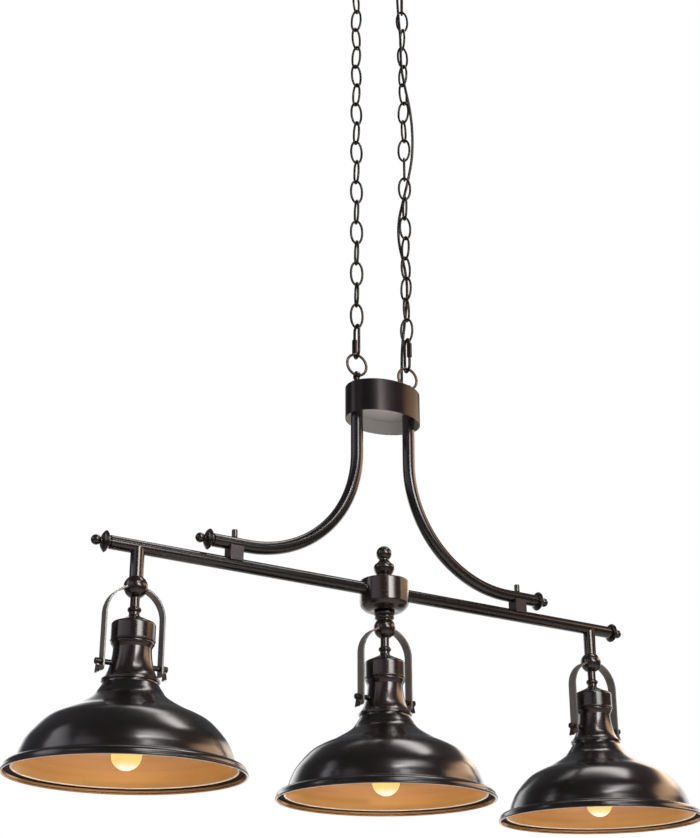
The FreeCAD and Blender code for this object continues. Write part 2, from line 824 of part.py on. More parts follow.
def hub_collar():
    """The two-beaded collar between the hub and the middle lamp's ball."""
    top = bar_z - hub_bottom - hub_bowl
    low = bar_z - ball_drop
    radius = hub_collar_diameter / 2
    waist = radius - 3
    bead = (top - (low + ball_diameter / 2) + 4) / 2
    outline = Outline(0, low)
    outline.line(waist - 2, low).line(waist - 2, top - 2 * bead)
    outline.arc((radius - 1.5, top - 1.5 * bead), (waist, top - bead))
    outline.arc((radius, top - 0.5 * bead), (waist, top))
    outline.line(hub_spigot_diameter / 2, top).line(hub_spigot_diameter / 2, top + hub_spigot_length)
    outline.line(0, top + hub_spigot_length)
    return outline.turned().cut(ball_clearance(0))


def dropper(side):
    """The short tube from the bar down to an outer lamp's ball."""
    x = SIDES[side] * lamp_spacing
    top = V(x, 0, bar_z)
    low = V(x, 0, bar_z - ball_drop)
    tube = rod(tube_diameter, low, top).cut(rod(2 * tube_bore, low, top))
    seat = tube_diameter + 2 * slip_gap
    tube = tube.cut(rod(seat, V(x - tube_diameter, 0, bar_z), V(x + tube_diameter, 0, bar_z)))
    return tube.cut(ball_clearance(x))


def yoke_band(thickness, width):
    """A flat strap bent over a half circle, with two straight legs."""
    centre = V(0, 0, bar_z - ball_drop - yoke_radius)
    low = bar_z - yoke_drop
    outer = yoke_radius + thickness / 2
    inner = yoke_radius - thickness / 2
    edges = []
    for radius in (outer, inner):
        left = V(-radius, -width / 2, centre.z)
        over = V(0, -width / 2, centre.z + radius)
        right = V(radius, -width / 2, centre.z)
        edges.append(Part.LineSegment(V(-radius, -width / 2, low), left).toShape())
        edges.append(Part.Arc(left, over, right).toShape())
        edges.append(Part.LineSegment(right, V(radius, -width / 2, low)).toShape())
    for sign in (-1, 1):
        foot = V(sign * outer, -width / 2, low)
        edges.append(Part.LineSegment(foot, V(sign * inner, -width / 2, low)).toShape())
    face = Part.Face(Part.Wire(Part.__sortEdges__(edges)))
    return face.extrude(V(0, width, 0))


def yoke(x):
    """The strap that straddles a lamp's neck, with rounded feet and a screw hole in each leg."""
    strap = yoke_band(yoke_thickness, yoke_width)
    feet = []
    for edge in strap.Edges:
        box = edge.BoundBox
        if box.ZMax < bar_z - yoke_drop + 0.01 and box.YLength < 0.01:
            feet.append(edge)
    strap = strap.makeFillet(yoke_width * 0.3, feet)
    z = bar_z - pin_drop
    reach = yoke_radius + yoke_thickness
    strap = strap.cut(rod(thumb_shank_diameter + 4 * slip_gap, V(-reach, 0, z), V(reach, 0, z)))
    return moved(strap, x)


def lamp_ball(x):
    """The turned ball that the yoke's strap passes through."""
    centre = V(0, 0, bar_z - ball_drop)
    sphere = Part.makeSphere(ball_diameter / 2, centre)
    slot = yoke_band(yoke_thickness + 2 * slip_gap, yoke_width + 2 * slip_gap)
    return moved(sphere.cut(slot), x)


def stem(x):
    """The turned stem under a ball, with its bead and flared foot, and the rod that carries the holder."""
    radius = stem_diameter / 2
    bead = stem_bead_diameter / 2
    waist = stem_waist_diameter / 2
    top = bar_z - ball_drop
    bead_z = bar_z - stem_bead_drop
    foot_z = bar_z - cap_crown_drop
    rod_end = bar_z - shade_top_drop - holder_flange_height
    outline = Outline(0, top).line(radius, top).line(radius, bead_z + 4)
    outline.arc((bead, bead_z), (waist, bead_z - 4))
    outline.line(waist, foot_z + 3).line(waist + 2, foot_z)
    outline.line(stem_rod_diameter / 2, foot_z).line(stem_rod_diameter / 2, rod_end).line(0, rod_end)
    return moved(outline.turned().cut(ball_clearance(0)), x)


def cap(x):
    """The spun cap: a shallow crown, a rolled shoulder and a straight skirt over the neck's sleeve."""
    radius = cap_diameter / 2
    crown = bar_z - cap_crown_drop
    shoulder = bar_z - cap_shoulder_drop
    low = bar_z - cap_bottom_drop
    hole = stem_rod_diameter / 2 + slip_gap
    outline = Outline(hole, crown)
    outline.line(stem_waist_diameter / 2 + 3, crown)
    outline.curve([(radius * 0.62, crown - 4.5), (radius - 3, shoulder + 3.2)])
    outline.arc((radius - 0.7, shoulder + 1.2), (radius, shoulder - 1.5))
    outline.line(radius, low + 3).arc((radius + 0.7, low + 1.5), (radius, low)).line(radius - sheet, low)
    outline.line(radius - sheet, shoulder - 1.5)
    outline.curve([(radius * 0.6, crown - 4.5 - sheet), (stem_waist_diameter / 2 + 3, crown - sheet)])
    outline.line(hole, crown - sheet)
    return moved(outline.turned(), x)


def neck_side():
    """Points down the outside of the neck, from under its bead to its skirt."""
    low = bar_z - cap_bottom_drop - neck_bead_height
    skirt = neck_skirt_diameter / 2
    return [
        (neck_top_diameter / 2, low - 4),
        (neck_top_diameter / 2 + 1.2, low - 18),
        (neck_pin_diameter / 2 + 0.8, bar_z - pin_drop - 3),
        (skirt - 6, bar_z - neck_skirt_drop + 10),
        (skirt, bar_z - neck_skirt_drop + 3),
    ]


def neck_outline(start, skin):
    """Outside of the neck, grown by a skin, from a start on the cap's level down to the skirt."""
    top = bar_z - cap_bottom_drop
    side = [(radius + skin, height) for radius, height in neck_side()]
    bead = neck_bead_diameter / 2 + skin
    start.line(bead - 0.6, top)
    start.arc((bead, top - neck_bead_height * 0.45), (bead - 1.5, top - neck_bead_height * 0.9))
    start.line(side[0][0], side[0][1]).curve(side[1:])
    return start.line(neck_skirt_diameter / 2 + skin, bar_z - neck_skirt_drop)


def neck(x):
    """The spun neck: sleeve inside the cap, bead, flared side, skirt and the ledge over the shade."""
    low = bar_z - neck_skirt_drop
    skirt = neck_skirt_diameter / 2
    inside = offset_inwards(neck_side(), sheet)
    ledge = skirt - neck_ledge_width
    ledge_z = bar_z - shade_top_drop + seat_gap
    top = bar_z - cap_bottom_drop
    sleeve = cap_diameter / 2 - sheet - slip_gap
    outline = Outline(sleeve - sheet, top + neck_sleeve).line(sleeve, top + neck_sleeve).line(sleeve, top)
    outline = neck_outline(outline, 0)
    outline.line(skirt - sheet, low).line(skirt - sheet, ledge_z)
    outline.line(ledge, ledge_z).line(ledge, ledge_z + sheet).line(skirt - 5 * sheet, ledge_z + sheet)
    outline.curve(list(reversed(inside[:-2])))
    outline.line(sleeve - sheet, top - 1)
    body = outline.turned()
    z = bar_z - pin_drop
    body = body.cut(rod(stud_spigot_diameter + 2 * slip_gap, V(-skirt, 0, z), V(skirt, 0, z)))
    return moved(body, x)


def yoke_studs(x):
    """The two studs between a lamp's neck and its yoke, tapped for the thumb screws."""
    z = bar_z - pin_drop
    reach = yoke_radius - yoke_thickness / 2 - slip_gap
    envelope = neck_outline(Outline(0, bar_z - cap_bottom_drop), slip_gap)
    envelope = envelope.line(0, bar_z - neck_skirt_drop).turned()
    inner = neck_pin_diameter / 2 - stud_spigot_length
    studs = []
    for sign in (-1, 1):
        body = rod(stud_diameter, V(0, 0, z), V(sign * reach, 0, z)).cut(envelope)
        body = body.fuse(rod(stud_spigot_diameter, V(sign * inner, 0, z), V(sign * (reach - 2), 0, z)))
        tapped = thumb_shank_diameter + 2 * thread_gap
        bore_end = yoke_radius + yoke_thickness / 2 + hang_gap - thumb_shank_length - 0.5
        body = body.cut(rod(tapped, V(sign * bore_end, 0, z), V(sign * yoke_radius, 0, z)))
        studs.append(moved(body.removeSplitter(), x))
    return studs


def thumb_screw(x, sign):
    """A barrel-headed screw outside the yoke's leg, with one flared wing hanging down."""
    z = bar_z - pin_drop
    seat = yoke_radius + yoke_thickness / 2 + hang_gap
    head = rod(thumb_head_diameter, V(seat, 0, z), V(seat + thumb_head_length, 0, z))
    rims = [edge for edge in head.Edges if edge.BoundBox.XLength < 0.01]
    head = head.makeFillet(1.0, rims)
    shank = rod(thumb_shank_diameter, V(seat - thumb_shank_length, 0, z), V(seat + 2, 0, z))
    middle = seat + thumb_head_length / 2 + 0.6
    sections = []
    for width, thickness, drop in (
        (thumb_wing_root, thumb_wing_thickness, 0.0),
        (thumb_wing_root, thumb_wing_thickness, thumb_head_diameter / 2 + 1.5),
        (thumb_wing_tip, thumb_wing_thickness * 0.7, thumb_head_diameter / 2 + thumb_wing_length),
    ):
        low = z - drop
        corners = [V(middle - thickness / 2, -width / 2, low), V(middle + thickness / 2, -width / 2, low),
                   V(middle + thickness / 2, width / 2, low), V(middle - thickness / 2, width / 2, low)]
        sections.append(Part.makePolygon(corners + corners[:1]))
    wing = Part.makeLoft(sections, True, True)
    screw = head.fuse(shank).fuse(wing).removeSplitter()
    if sign < 0:
        screw = turned_about(screw, Z_AXIS, 180)
    return moved(screw, x)


def shade_side():
    """Points down the outside of the dome, from under the skirt to the flange."""
    collar = shade_collar_diameter / 2
    width = shade_base_diameter / 2 - collar
    top = bar_z - shade_top_drop - shade_clamp_depth
    height = top - (bar_z - shade_base_drop)
    return [(collar + width * across, top - height * down) for across, down in DOME_CURVE]


def flange_side():
    """Points down the outside of the flange, from the step under the dome to the rolled rim."""
    start = shade_base_diameter / 2 + shade_step
    width = shade_diameter / 2 - rim_round - start
    top = bar_z - shade_base_drop - shade_step_height
    height = top - (bar_z - shade_rim_drop + rim_bead)
    return [(start + width * across, top - height * down) for across, down in FLANGE_CURVE]


def shade(x):
    """The spun shade: clamped top, dome, step, flange and rolled rim, one sheet thick."""
    top = bar_z - shade_top_drop
    rim = bar_z - shade_rim_drop
    base_z = bar_z - shade_base_drop
    collar = shade_collar_diameter / 2
    edge = shade_diameter / 2
    hole = stem_rod_diameter / 2 + slip_gap
    dome = shade_side()
    dome_inside = offset_inwards(dome, sheet)
    flange = flange_side()
    flange_inside = offset_inwards(flange, sheet)
    outline = Outline(hole, top).line(collar - 1.5, top).arc((collar - 0.4, top - 0.4), (collar, top - 1.5))
    outline.line(dome[0][0], dome[0][1]).curve(dome[1:])
    outline.line(flange[0][0], base_z).line(flange[0][0], flange[0][1]).curve(flange[1:])
    outline.arc((edge, rim + rim_bead / 2), (edge - rim_round, rim)).line(edge - rim_bead, rim)
    outline.line(flange_inside[-1][0], flange_inside[-1][1]).curve(list(reversed(flange_inside[:-1])))
    outline.line(dome_inside[-1][0], dome_inside[-1][1]).curve(list(reversed(dome_inside[:-1])))
    outline.line(collar - sheet, top - sheet).line(hole, top - sheet)
    return moved(outline.turned(), x)


def bulb_levels():
    """Heights of a bulb's tip, glass joint and contact end."""
    tip = bar_z - shade_rim_drop + bulb_rise
    contact = tip + bulb_length
    joint = contact - bulb_base_length
    return tip, joint, contact


def lampholder(x):
    """The screw-shell holder that clamps the shade up against the neck's ledge."""
    top = bar_z - shade_top_drop - sheet
    low = bar_z - holder_drop
    radius = holder_diameter / 2
    flange = holder_flange_diameter / 2
    rod_hole = stem_rod_diameter / 2 + thread_gap
    bore = bulb_base_diameter / 2 + hang_gap
    contact = bulb_levels()[2]
    pocket = top - holder_flange_height - 1
    outline = Outline(rod_hole, top)
    outline.line(flange, top).line(flange, top - holder_flange_height + 1)
    outline.line(flange - 1, top - holder_flange_height).line(radius, top - holder_flange_height)
    outline.line(radius, low + 8).line(radius - 1.5, low + 6).line(radius - 1.5, low + 1)
    outline.line(radius - 2.5, low).line(bore, low)
    outline.line(bore, contact + hang_gap).line(0, contact + hang_gap)
    outline.line(0, pocket).line(rod_hole, pocket)
    return moved(outline.turned(), x)


def bulb_glass(x):
    """The bulb's envelope, a ball on a tapered neck."""
    tip, joint, _ = bulb_levels()
    radius = bulb_diameter / 2
    neck_radius = bulb_neck_diameter / 2
    centre = tip + radius
    turn = pi / 5
    shoulder = (radius * cos(turn), centre + radius * sin(turn))
    outline = Outline(0, joint).line(neck_radius, joint).line(neck_radius, joint - 3)
    outline.curve([(neck_radius + 2.2, joint - 10), shoulder])
    outline.arc((radius * cos(turn / 2 - 0.35), centre + radius * sin(turn / 2 - 0.35)), (0, tip))
    return moved(outline.turned(), x)


def bulb_base(x):
    """The bulb's screw base: rolled thread, insulator and contact."""
    _, joint, contact = bulb_levels()
    radius = bulb_base_diameter / 2
    turns = 4
    pitch = 3.6
    outline = Outline(0, joint).line(radius - 0.4, joint).line(radius - 0.4, joint + 3)
    for step in range(turns):
        start = joint + 3 + step * pitch
        outline.line(radius, start + pitch / 2).line(radius - 1, start + pitch)
    outline.line(5.5, contact - 1.6).line(5.5, contact).line(0, contact)
    return moved(outline.turned(), x)


def cord_tube(route, diameter):
    """A round cord through the route's points, with the widest arc that each pair of runs allows."""
    edges = []
    here = route[0]
    radii = []
    for before, corner, after in zip(route, route[1:], route[2:]):
        into = corner - before
        out = after - corner
        turn = into.getAngle(out)
        reach = 0.45 * min(into.Length, out.Length)
        radii.append(reach / tan(turn / 2))
        start = corner - into.normalize() * reach
        end = corner + out.normalize() * reach
        bisector = ((start - corner) + (end - corner)).normalize()
        centre_distance = radii[-1] / cos(turn / 2)
        middle = corner + bisector * (centre_distance - radii[-1])
        edges.append(Part.LineSegment(here, start).toShape())
        edges.append(Part.Arc(start, middle, end).toShape())
        here = end
    edges.append(Part.LineSegment(here, route[-1]).toShape())
    path = Part.Wire(edges)
    section = Part.Wire(Part.makeCircle(diameter / 2, route[0], route[1] - route[0]))
    tube = path.makePipeShell([section], True, False)
    expected = pi * diameter ** 2 / 4 * path.Length
    print("cord length %.0f, tightest arc %.0f, volume ratio %.4f"
          % (path.Length, min(radii), tube.Volume / expected))
    return tube


def lamp_nodes(name, x):
    """The pieces of one lamp that have nodes of their own."""
    return {
        name + "_yoke": [yoke(x)],
        name + "_neck": [neck(x)],
        name + "_shade": [shade(x)],
        name + "_bulb_glass": [bulb_glass(x)],
        name + "_bulb_base": [bulb_base(x)],
        name + "_thumb_screw_left": [thumb_screw(x, -1)],
        name + "_thumb_screw_right": [thumb_screw(x, 1)],
    }


def suspension_nodes():
    """The pieces from the ceiling down to the can's eyelets."""
    nodes = {
        "ceiling_crossbar": [crossbar()],
        "canopy_cup": [canopy_cup()],
        "canopy_studs": canopy_studs(),
        "canopy_knobs": canopy_knobs(),
        "canopy_eyelets": eyelet_pair(eyelet, -canopy_depth, False),
        "canopy_eyelet_nuts": eyelet_pair(eyelet_lock_nut, -canopy_depth, False),
        "canopy_cord_bushing": [cord_bushing(cord_top, -canopy_depth, False)],
        "top_rings": [moved(ring(), sign * arm_x, 0, top_ring_z) for sign in SIDES.values()],
        "bottom_rings": [moved(ring(), sign * arm_x, 0, bottom_ring_z) for sign in SIDES.values()],
        "supply_cord": [cord_tube(CORD_ROUTE, cord_diameter)],
    }
    for side in SIDES:
        nodes["chain_" + side] = chain(side)
        nodes["quick_links_" + side] = quick_link_bodies(side)
        nodes["quick_link_nuts_" + side] = quick_link_nuts(side)
    return nodes


def frame_nodes():
    """The rigid frame that carries the lamps."""
    nodes = {
        "can_shell": [can_shell()],
        "can_cover": [can_cover()],
        "can_eyelets": eyelet_pair(eyelet, can_top_z, True),
        "can_eyelet_nuts": eyelet_pair(eyelet_lock_nut, can_top_z, True),
        "can_cord_bushing": [cord_bushing(cord_bottom, can_top_z, True)],
        "arm_nuts": arm_nuts(),
        "arm_finials": finial_pair(arm_reach, arm_z),
        "bar_finials": finial_pair(bar_end, bar_z),
        "hub_body": [hub_body()],
        "hub_finial": [hub_finial()],
        "hub_collar": [hub_collar()],
        "saddle_blocks": [saddle(side) for side in SIDES],
        "saddle_bolts": [saddle_bolt(side) for side in SIDES],
        "droppers": [dropper(side) for side in SIDES],
        "lamp_balls": [lamp_ball(x) for x in LAMPS.values()],
        "lamp_stems": [stem(x) for x in LAMPS.values()],
        "lamp_caps": [cap(x) for x in LAMPS.values()],
        "lampholders": [lampholder(x) for x in LAMPS.values()],
        "yoke_studs": [stud for x in LAMPS.values() for stud in yoke_studs(x)],
    }
    for side in SIDES:
        nodes["arm_" + side] = [arm(side)]
        nodes["bar_" + side] = [bar(side)]
    return nodes


def main():
    """Build every piece and write each node to its own file."""
    os.makedirs("parts", exist_ok=True)
    nodes = suspension_nodes()
    nodes.update(frame_nodes())
    for name, x in LAMPS.items():
        nodes.update(lamp_nodes(name, x))
    for name, solids in nodes.items():
        shape = solids[0] if len(solids) == 1 else Part.makeCompound(solids)
        if not shape.isValid():
            print("not valid: " + name)
        shape.exportStep("parts/" + name + ".step")
    print("%d nodes, bar axis at %.2f, rim at %.2f" % (len(nodes), bar_z, bar_z - shade_rim_drop))


main()
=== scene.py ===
"""Looks of the three-lamp bar pendant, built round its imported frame, in metres."""

import json
import logging
from abc import ABC, abstractmethod
from dataclasses import dataclass, field
from enum import Enum
from math import cos, pi, radians, sin
from typing import ClassVar

import bmesh
import bpy
from mathutils import Matrix, Vector

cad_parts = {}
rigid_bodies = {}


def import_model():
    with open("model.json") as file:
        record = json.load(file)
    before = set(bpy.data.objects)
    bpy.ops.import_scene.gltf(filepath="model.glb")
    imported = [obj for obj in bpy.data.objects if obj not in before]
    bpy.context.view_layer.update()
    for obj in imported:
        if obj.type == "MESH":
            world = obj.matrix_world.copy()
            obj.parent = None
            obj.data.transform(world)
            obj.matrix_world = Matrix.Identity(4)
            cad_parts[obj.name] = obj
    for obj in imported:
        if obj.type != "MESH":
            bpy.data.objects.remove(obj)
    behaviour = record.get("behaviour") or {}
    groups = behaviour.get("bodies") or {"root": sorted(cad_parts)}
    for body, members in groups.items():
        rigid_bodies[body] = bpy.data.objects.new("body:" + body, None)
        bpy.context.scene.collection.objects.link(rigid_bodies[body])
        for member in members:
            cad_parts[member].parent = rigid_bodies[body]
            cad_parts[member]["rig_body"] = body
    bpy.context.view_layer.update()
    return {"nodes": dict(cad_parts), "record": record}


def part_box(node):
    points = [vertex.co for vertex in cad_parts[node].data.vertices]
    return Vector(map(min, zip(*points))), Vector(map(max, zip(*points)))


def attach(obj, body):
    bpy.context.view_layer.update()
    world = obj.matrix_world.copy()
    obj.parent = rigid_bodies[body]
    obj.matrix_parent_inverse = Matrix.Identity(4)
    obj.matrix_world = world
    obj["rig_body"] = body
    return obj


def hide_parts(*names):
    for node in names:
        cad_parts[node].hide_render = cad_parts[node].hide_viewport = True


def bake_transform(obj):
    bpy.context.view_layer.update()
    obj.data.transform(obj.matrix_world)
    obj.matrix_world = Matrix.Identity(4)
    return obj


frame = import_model()
LAMPS = ("left", "middle", "right")
SIDES = ("left", "right")
Profile = list[tuple[float, float]]
Triple = tuple[float, float, float]
Colour = tuple[float, float, float, float]
log = logging.getLogger("pendant")


class Slot(Enum):
    """The record's material slots."""

    BRONZE = "bronze"
    SHADE = "shade_bronze"
    STRAP = "strap_bronze"
    COVER = "cover_grey"
    STEEL = "steel"
    CORD = "cord_black"
    PLASTIC = "black_plastic"
    HOLDER = "holder_plastic"
    GLASS = "bulb_glass"
    BASE = "bulb_base"


class Grain(Enum):
    """Stretch of a finish's fine working lines, as noise counts per metre along X, Y and Z."""

    TURNED = (14.0, 14.0, 900.0)
    CAST = (320.0, 320.0, 320.0)


class Field:
    """A number that varies over a surface, held as a node's output socket."""

    def __init__(self, tree: "NodeTree", socket: bpy.types.NodeSocket) -> None:
        """Keep the socket and the tree that it belongs to."""
        self.tree = tree
        self.socket = socket

    def _math(self, operation: str, *terms: "Field | float") -> "Field":
        """Add a Math node.

        Args:
            operation: what the node does with its values.
            terms: the values, in order.

        Returns:
            The node's result.
        """
        node = self.tree.add("ShaderNodeMath", {"operation": operation}, dict(enumerate(terms)))
        return Field(self.tree, node.outputs[0])

    def __add__(self, other: "Field | float") -> "Field":
        """Sum of two values."""
        return self._math("ADD", self, other)

    def __radd__(self, other: float) -> "Field":
        """Sum of a number and a value."""
        return self._math("ADD", other, self)

    def __sub__(self, other: "Field | float") -> "Field":
        """Difference of two values."""
        return self._math("SUBTRACT", self, other)

    def __rsub__(self, other: float) -> "Field":
        """Difference of a number and a value."""
        return self._math("SUBTRACT", other, self)

    def __mul__(self, other: "Field | float") -> "Field":
        """Product of two values."""
        return self._math("MULTIPLY", self, other)

    def __rmul__(self, other: float) -> "Field":
        """Product of a number and a value."""
        return self._math("MULTIPLY", other, self)

    def __truediv__(self, other: "Field | float") -> "Field":
        """Quotient of two values."""
        return self._math("DIVIDE", self, other)

    def __rtruediv__(self, other: float) -> "Field":
        """Quotient of a number and a value."""
        return self._math("DIVIDE", other, self)

    def __pow__(self, power: float) -> "Field":
        """A power of the value."""
        return self._math("POWER", self, power)

    def clamped(self) -> "Field":
        """The value, kept from 0 to 1."""
        return self._math("MINIMUM", self._math("MAXIMUM", self, 0.0), 1.0)

    def centred(self) -> "Field":
        """The value less a half, so that a noise swings about 0."""
        return self - 0.5

    def eased(self) -> "Field":
        """The value with a soft start at 0 and a soft end at 1."""
        return (self * self * (3.0 - 2.0 * self)).clamped()


class NodeTree:
    """The nodes of a material, a light or the backdrop."""

    def __init__(self, owner: bpy.types.ID) -> None:
        """Take over the owner's nodes."""
        owner.use_nodes = True
        self.nodes = owner.node_tree.nodes
        self.links = owner.node_tree.links

    def add(
        self, kind: str, settings: dict | None = None, inputs: dict | None = None
    ) -> bpy.types.Node:
        """Add any node.

        Args:
            kind: the node's type.
            settings: its properties, set first.
            inputs: values or links of its sockets, by name or number.

        Returns:
            The new node.
        """
        node = self.nodes.new(kind)
        for name, value in (settings or {}).items():
            setattr(node, name, value)
        self.feed(node, inputs or {})
        return node

    def feed(self, node: bpy.types.Node, inputs: dict) -> None:
        """Set or link a node's sockets.

        Args:
            node: the node that takes the values.
            inputs: values or links, by socket name or number.
        """
        for key, value in inputs.items():
            source = value.socket if isinstance(value, Field) else value
            if isinstance(source, bpy.types.NodeSocket):
                self.links.new(source, node.inputs[key])
            else:
                node.inputs[key].default_value = source

    def mixed(
        self,
        share: Field,
        first: "Colour | bpy.types.NodeSocket",
        second: "Colour | bpy.types.NodeSocket",
    ) -> bpy.types.NodeSocket:
        """A colour between two.

        Args:
            share: how much of the second colour shows.
            first: the colour at 0, as numbers or a link.
            second: the colour at 1, as numbers or a link.

        Returns:
            The mixed colour's socket.
        """
        node = self.add("ShaderNodeMix", {"data_type": "RGBA"}, {0: share, 6: first, 7: second})
        return node.outputs[2]


class FinishTree(NodeTree):
    """A material's nodes round its surface shader."""

    # Brings the small product that inward faces give past 1.
    INWARD_GAIN: ClassVar[float] = -400.0

    def __init__(self, name: str) -> None:
        """Start a material of that name."""
        self.material = bpy.data.materials.new(name)
        super().__init__(self.material)
        self.shader = self.nodes["Principled BSDF"]

    def place(self) -> bpy.types.NodeSocket:
        """The point's place in its own object."""
        return self.add("ShaderNodeTexCoord").outputs["Object"]

    def scaled(self, vector: bpy.types.NodeSocket, scale: Triple) -> bpy.types.NodeSocket:
        """A vector stretched along its three axes.

        Args:
            vector: the vector's socket.
            scale: factors along X, Y and Z.

        Returns:
            The stretched vector's socket.
        """
        settings = {"operation": "MULTIPLY"}
        return self.add("ShaderNodeVectorMath", settings, {0: vector, 1: scale}).outputs[0]

    def level(self) -> bpy.types.NodeSocket:
        """The point's place in its own object, without its height."""
        return self.scaled(self.place(), (1.0, 1.0, 0.0))

    def noise(self, vector: bpy.types.NodeSocket, scale: float, detail: float) -> Field:
        """Soft noise from 0 to 1.

        Args:
            vector: where the noise is read.
            scale: its counts per metre.
            detail: its finer octaves.

        Returns:
            The noise.
        """
        inputs = {"Vector": vector, "Scale": scale, "Detail": detail}
        return Field(self, self.add("ShaderNodeTexNoise", None, inputs).outputs[0])

    def lines(self, grain: Grain) -> Field:
        """A finish's fine working lines, from 0 to 1."""
        return self.noise(self.scaled(self.place(), grain.value), scale=1.0, detail=3.0)

    def axis_distance(self) -> Field:
        """Distance from the object's own upright axis."""
        node = self.add("ShaderNodeVectorMath", {"operation": "LENGTH"}, {0: self.level()})
        return Field(self, node.outputs["Value"])

    def height(self) -> Field:
        """Height in the object's own frame."""
        return Field(self, self.add("ShaderNodeSeparateXYZ", None, {0: self.place()}).outputs["Z"])

    def rings(self, count: float, detail: float) -> Field:
        """Uneven circles about the object's axis.

        Args:
            count: circles per metre.
            detail: their finer octaves.

        Returns:
            The circles, from 0 to 1.
        """
        settings = {"noise_dimensions": "1D"}
        inputs = {"W": self.axis_distance(), "Scale": count, "Detail": detail}
        return Field(self, self.add("ShaderNodeTexNoise", settings, inputs).outputs[0])

    def along_normal(self, vector: bpy.types.NodeSocket) -> Field:
        """How far a vector goes along the surface's own normal."""
        normal = self.add("ShaderNodeNewGeometry").outputs["Normal"]
        settings = {"operation": "DOT_PRODUCT"}
        node = self.add("ShaderNodeVectorMath", settings, {0: vector, 1: normal})
        return Field(self, node.outputs["Value"])

    def inward(self) -> Field:
        """1 on faces that look towards the object's own upright axis, 0 on the others."""
        return (self.along_normal(self.level()) * self.INWARD_GAIN).clamped()

    def edges(self, radius: float) -> Field:
        """How near a point is to a sharp edge.

        Args:
            radius: how far from the edge it shows.

        Returns:
            The nearness, 0 on open faces.
        """
        rounded = self.add("ShaderNodeBevel", {"samples": 4}, {"Radius": radius}).outputs[0]
        return 1.0 - self.along_normal(rounded)

    def bump(self, relief: Field, depth: float) -> bpy.types.NodeSocket:
        """A normal roughened by a relief.

        Args:
            relief: heights from 0 to 1.
            depth: height of a full step, in metres.

        Returns:
            The normal's socket.
        """
        inputs = {"Height": relief, "Distance": depth, "Strength": 1.0}
        return self.add("ShaderNodeBump", None, inputs).outputs[0]


@dataclass(frozen=True)
class Finish(ABC):
    """A surface of the pendant."""

    name: str
    slot: Slot

    @abstractmethod
    def paint(self, tree: FinishTree) -> None:
        """Set the surface's shader."""

    def material(self) -> bpy.types.Material:
        """The finish's material, made the first time."""
        found = bpy.data.materials.get(self.name)
        if found:
            return found
        tree = FinishTree(self.name)
        self.paint(tree)
        return tree.material


@dataclass(frozen=True)
class Bronze(Finish):
    """Dark lacquered bronze, rubbed brown along its edges."""

    grain: Grain = Grain.TURNED
    dark: Colour = (0.0115, 0.0088, 0.0082, 1.0)
    brown: Colour = (0.024, 0.016, 0.0125, 1.0)
    rubbed: Colour = (0.23, 0.125, 0.066, 1.0)
    metallic: float = 0.55
    roughness: float = 0.26
    specular: float = 0.5
    coat: float = 0.85
    coat_roughness: float = 0.15
    edge_width: float = 0.0011
    edge_gain: float = 2.2
    edge_patches: float = 140.0
    edge_dulling: float = 0.12
    cloud_scale: float = 26.0
    cloud_gloss: float = 0.1
    gloss_spread: float = 0.06
    line_depth: float = 0.000004

    def paint(self, tree: FinishTree) -> None:
        """Clouded lacquer with working lines and worn edges."""
        place = tree.place()
        cloud = tree.noise(place, self.cloud_scale, detail=4.0)
        lines = tree.lines(self.grain)
        colour = tree.mixed(cloud, self.dark, self.brown)
        gloss = self.roughness + cloud.centred() * self.cloud_gloss
        gloss = gloss + lines.centred() * self.gloss_spread
        if self.edge_gain:
            patches = tree.noise(place, self.edge_patches, detail=3.0)
            wear = (tree.edges(self.edge_width) * self.edge_gain * patches).clamped()
            colour = tree.mixed(wear, colour, self.rubbed)
            gloss = gloss + wear * self.edge_dulling
        tree.feed(tree.shader, {
            "Base Color": colour,
            "Metallic": self.metallic,
            "Roughness": gloss,
            "Specular IOR Level": self.specular,
            "Coat Weight": self.coat,
            "Coat Roughness": self.coat_roughness,
        })
        if self.line_depth:
            tree.feed(tree.shader, {"Normal": tree.bump(lines, self.line_depth)})


@dataclass(frozen=True)
class LinedBronze(Bronze):
    """Bronze outside, with a pale satin grey on the faces that look inwards, lighter than the
    cover as painted light.
    """

    # Partly the cover's own pale grey, partly painted light: lighter than the cover, so that the
    # can's shaded inner wall reads lit.
    lining_painted_light: Colour = (0.8, 0.79, 0.77, 1.0)
    lining_roughness: float = 0.5

    def paint(self, tree: FinishTree) -> None:
        """The bronze, changed on the inward faces to the pale satin grey with its painted light.
        """
        super().paint(tree)
        inward = tree.inward()
        sockets = tree.shader.inputs
        bronze = sockets["Base Color"].links[0].from_socket
        gloss = Field(tree, sockets["Roughness"].links[0].from_socket)
        tree.feed(tree.shader, {
            "Base Color": tree.mixed(inward, bronze, self.lining_painted_light),
            "Roughness": gloss * (1.0 - inward) + inward * self.lining_roughness,
            "Metallic": (1.0 - inward) * self.metallic,
            "Coat Weight": (1.0 - inward) * self.coat,
        })


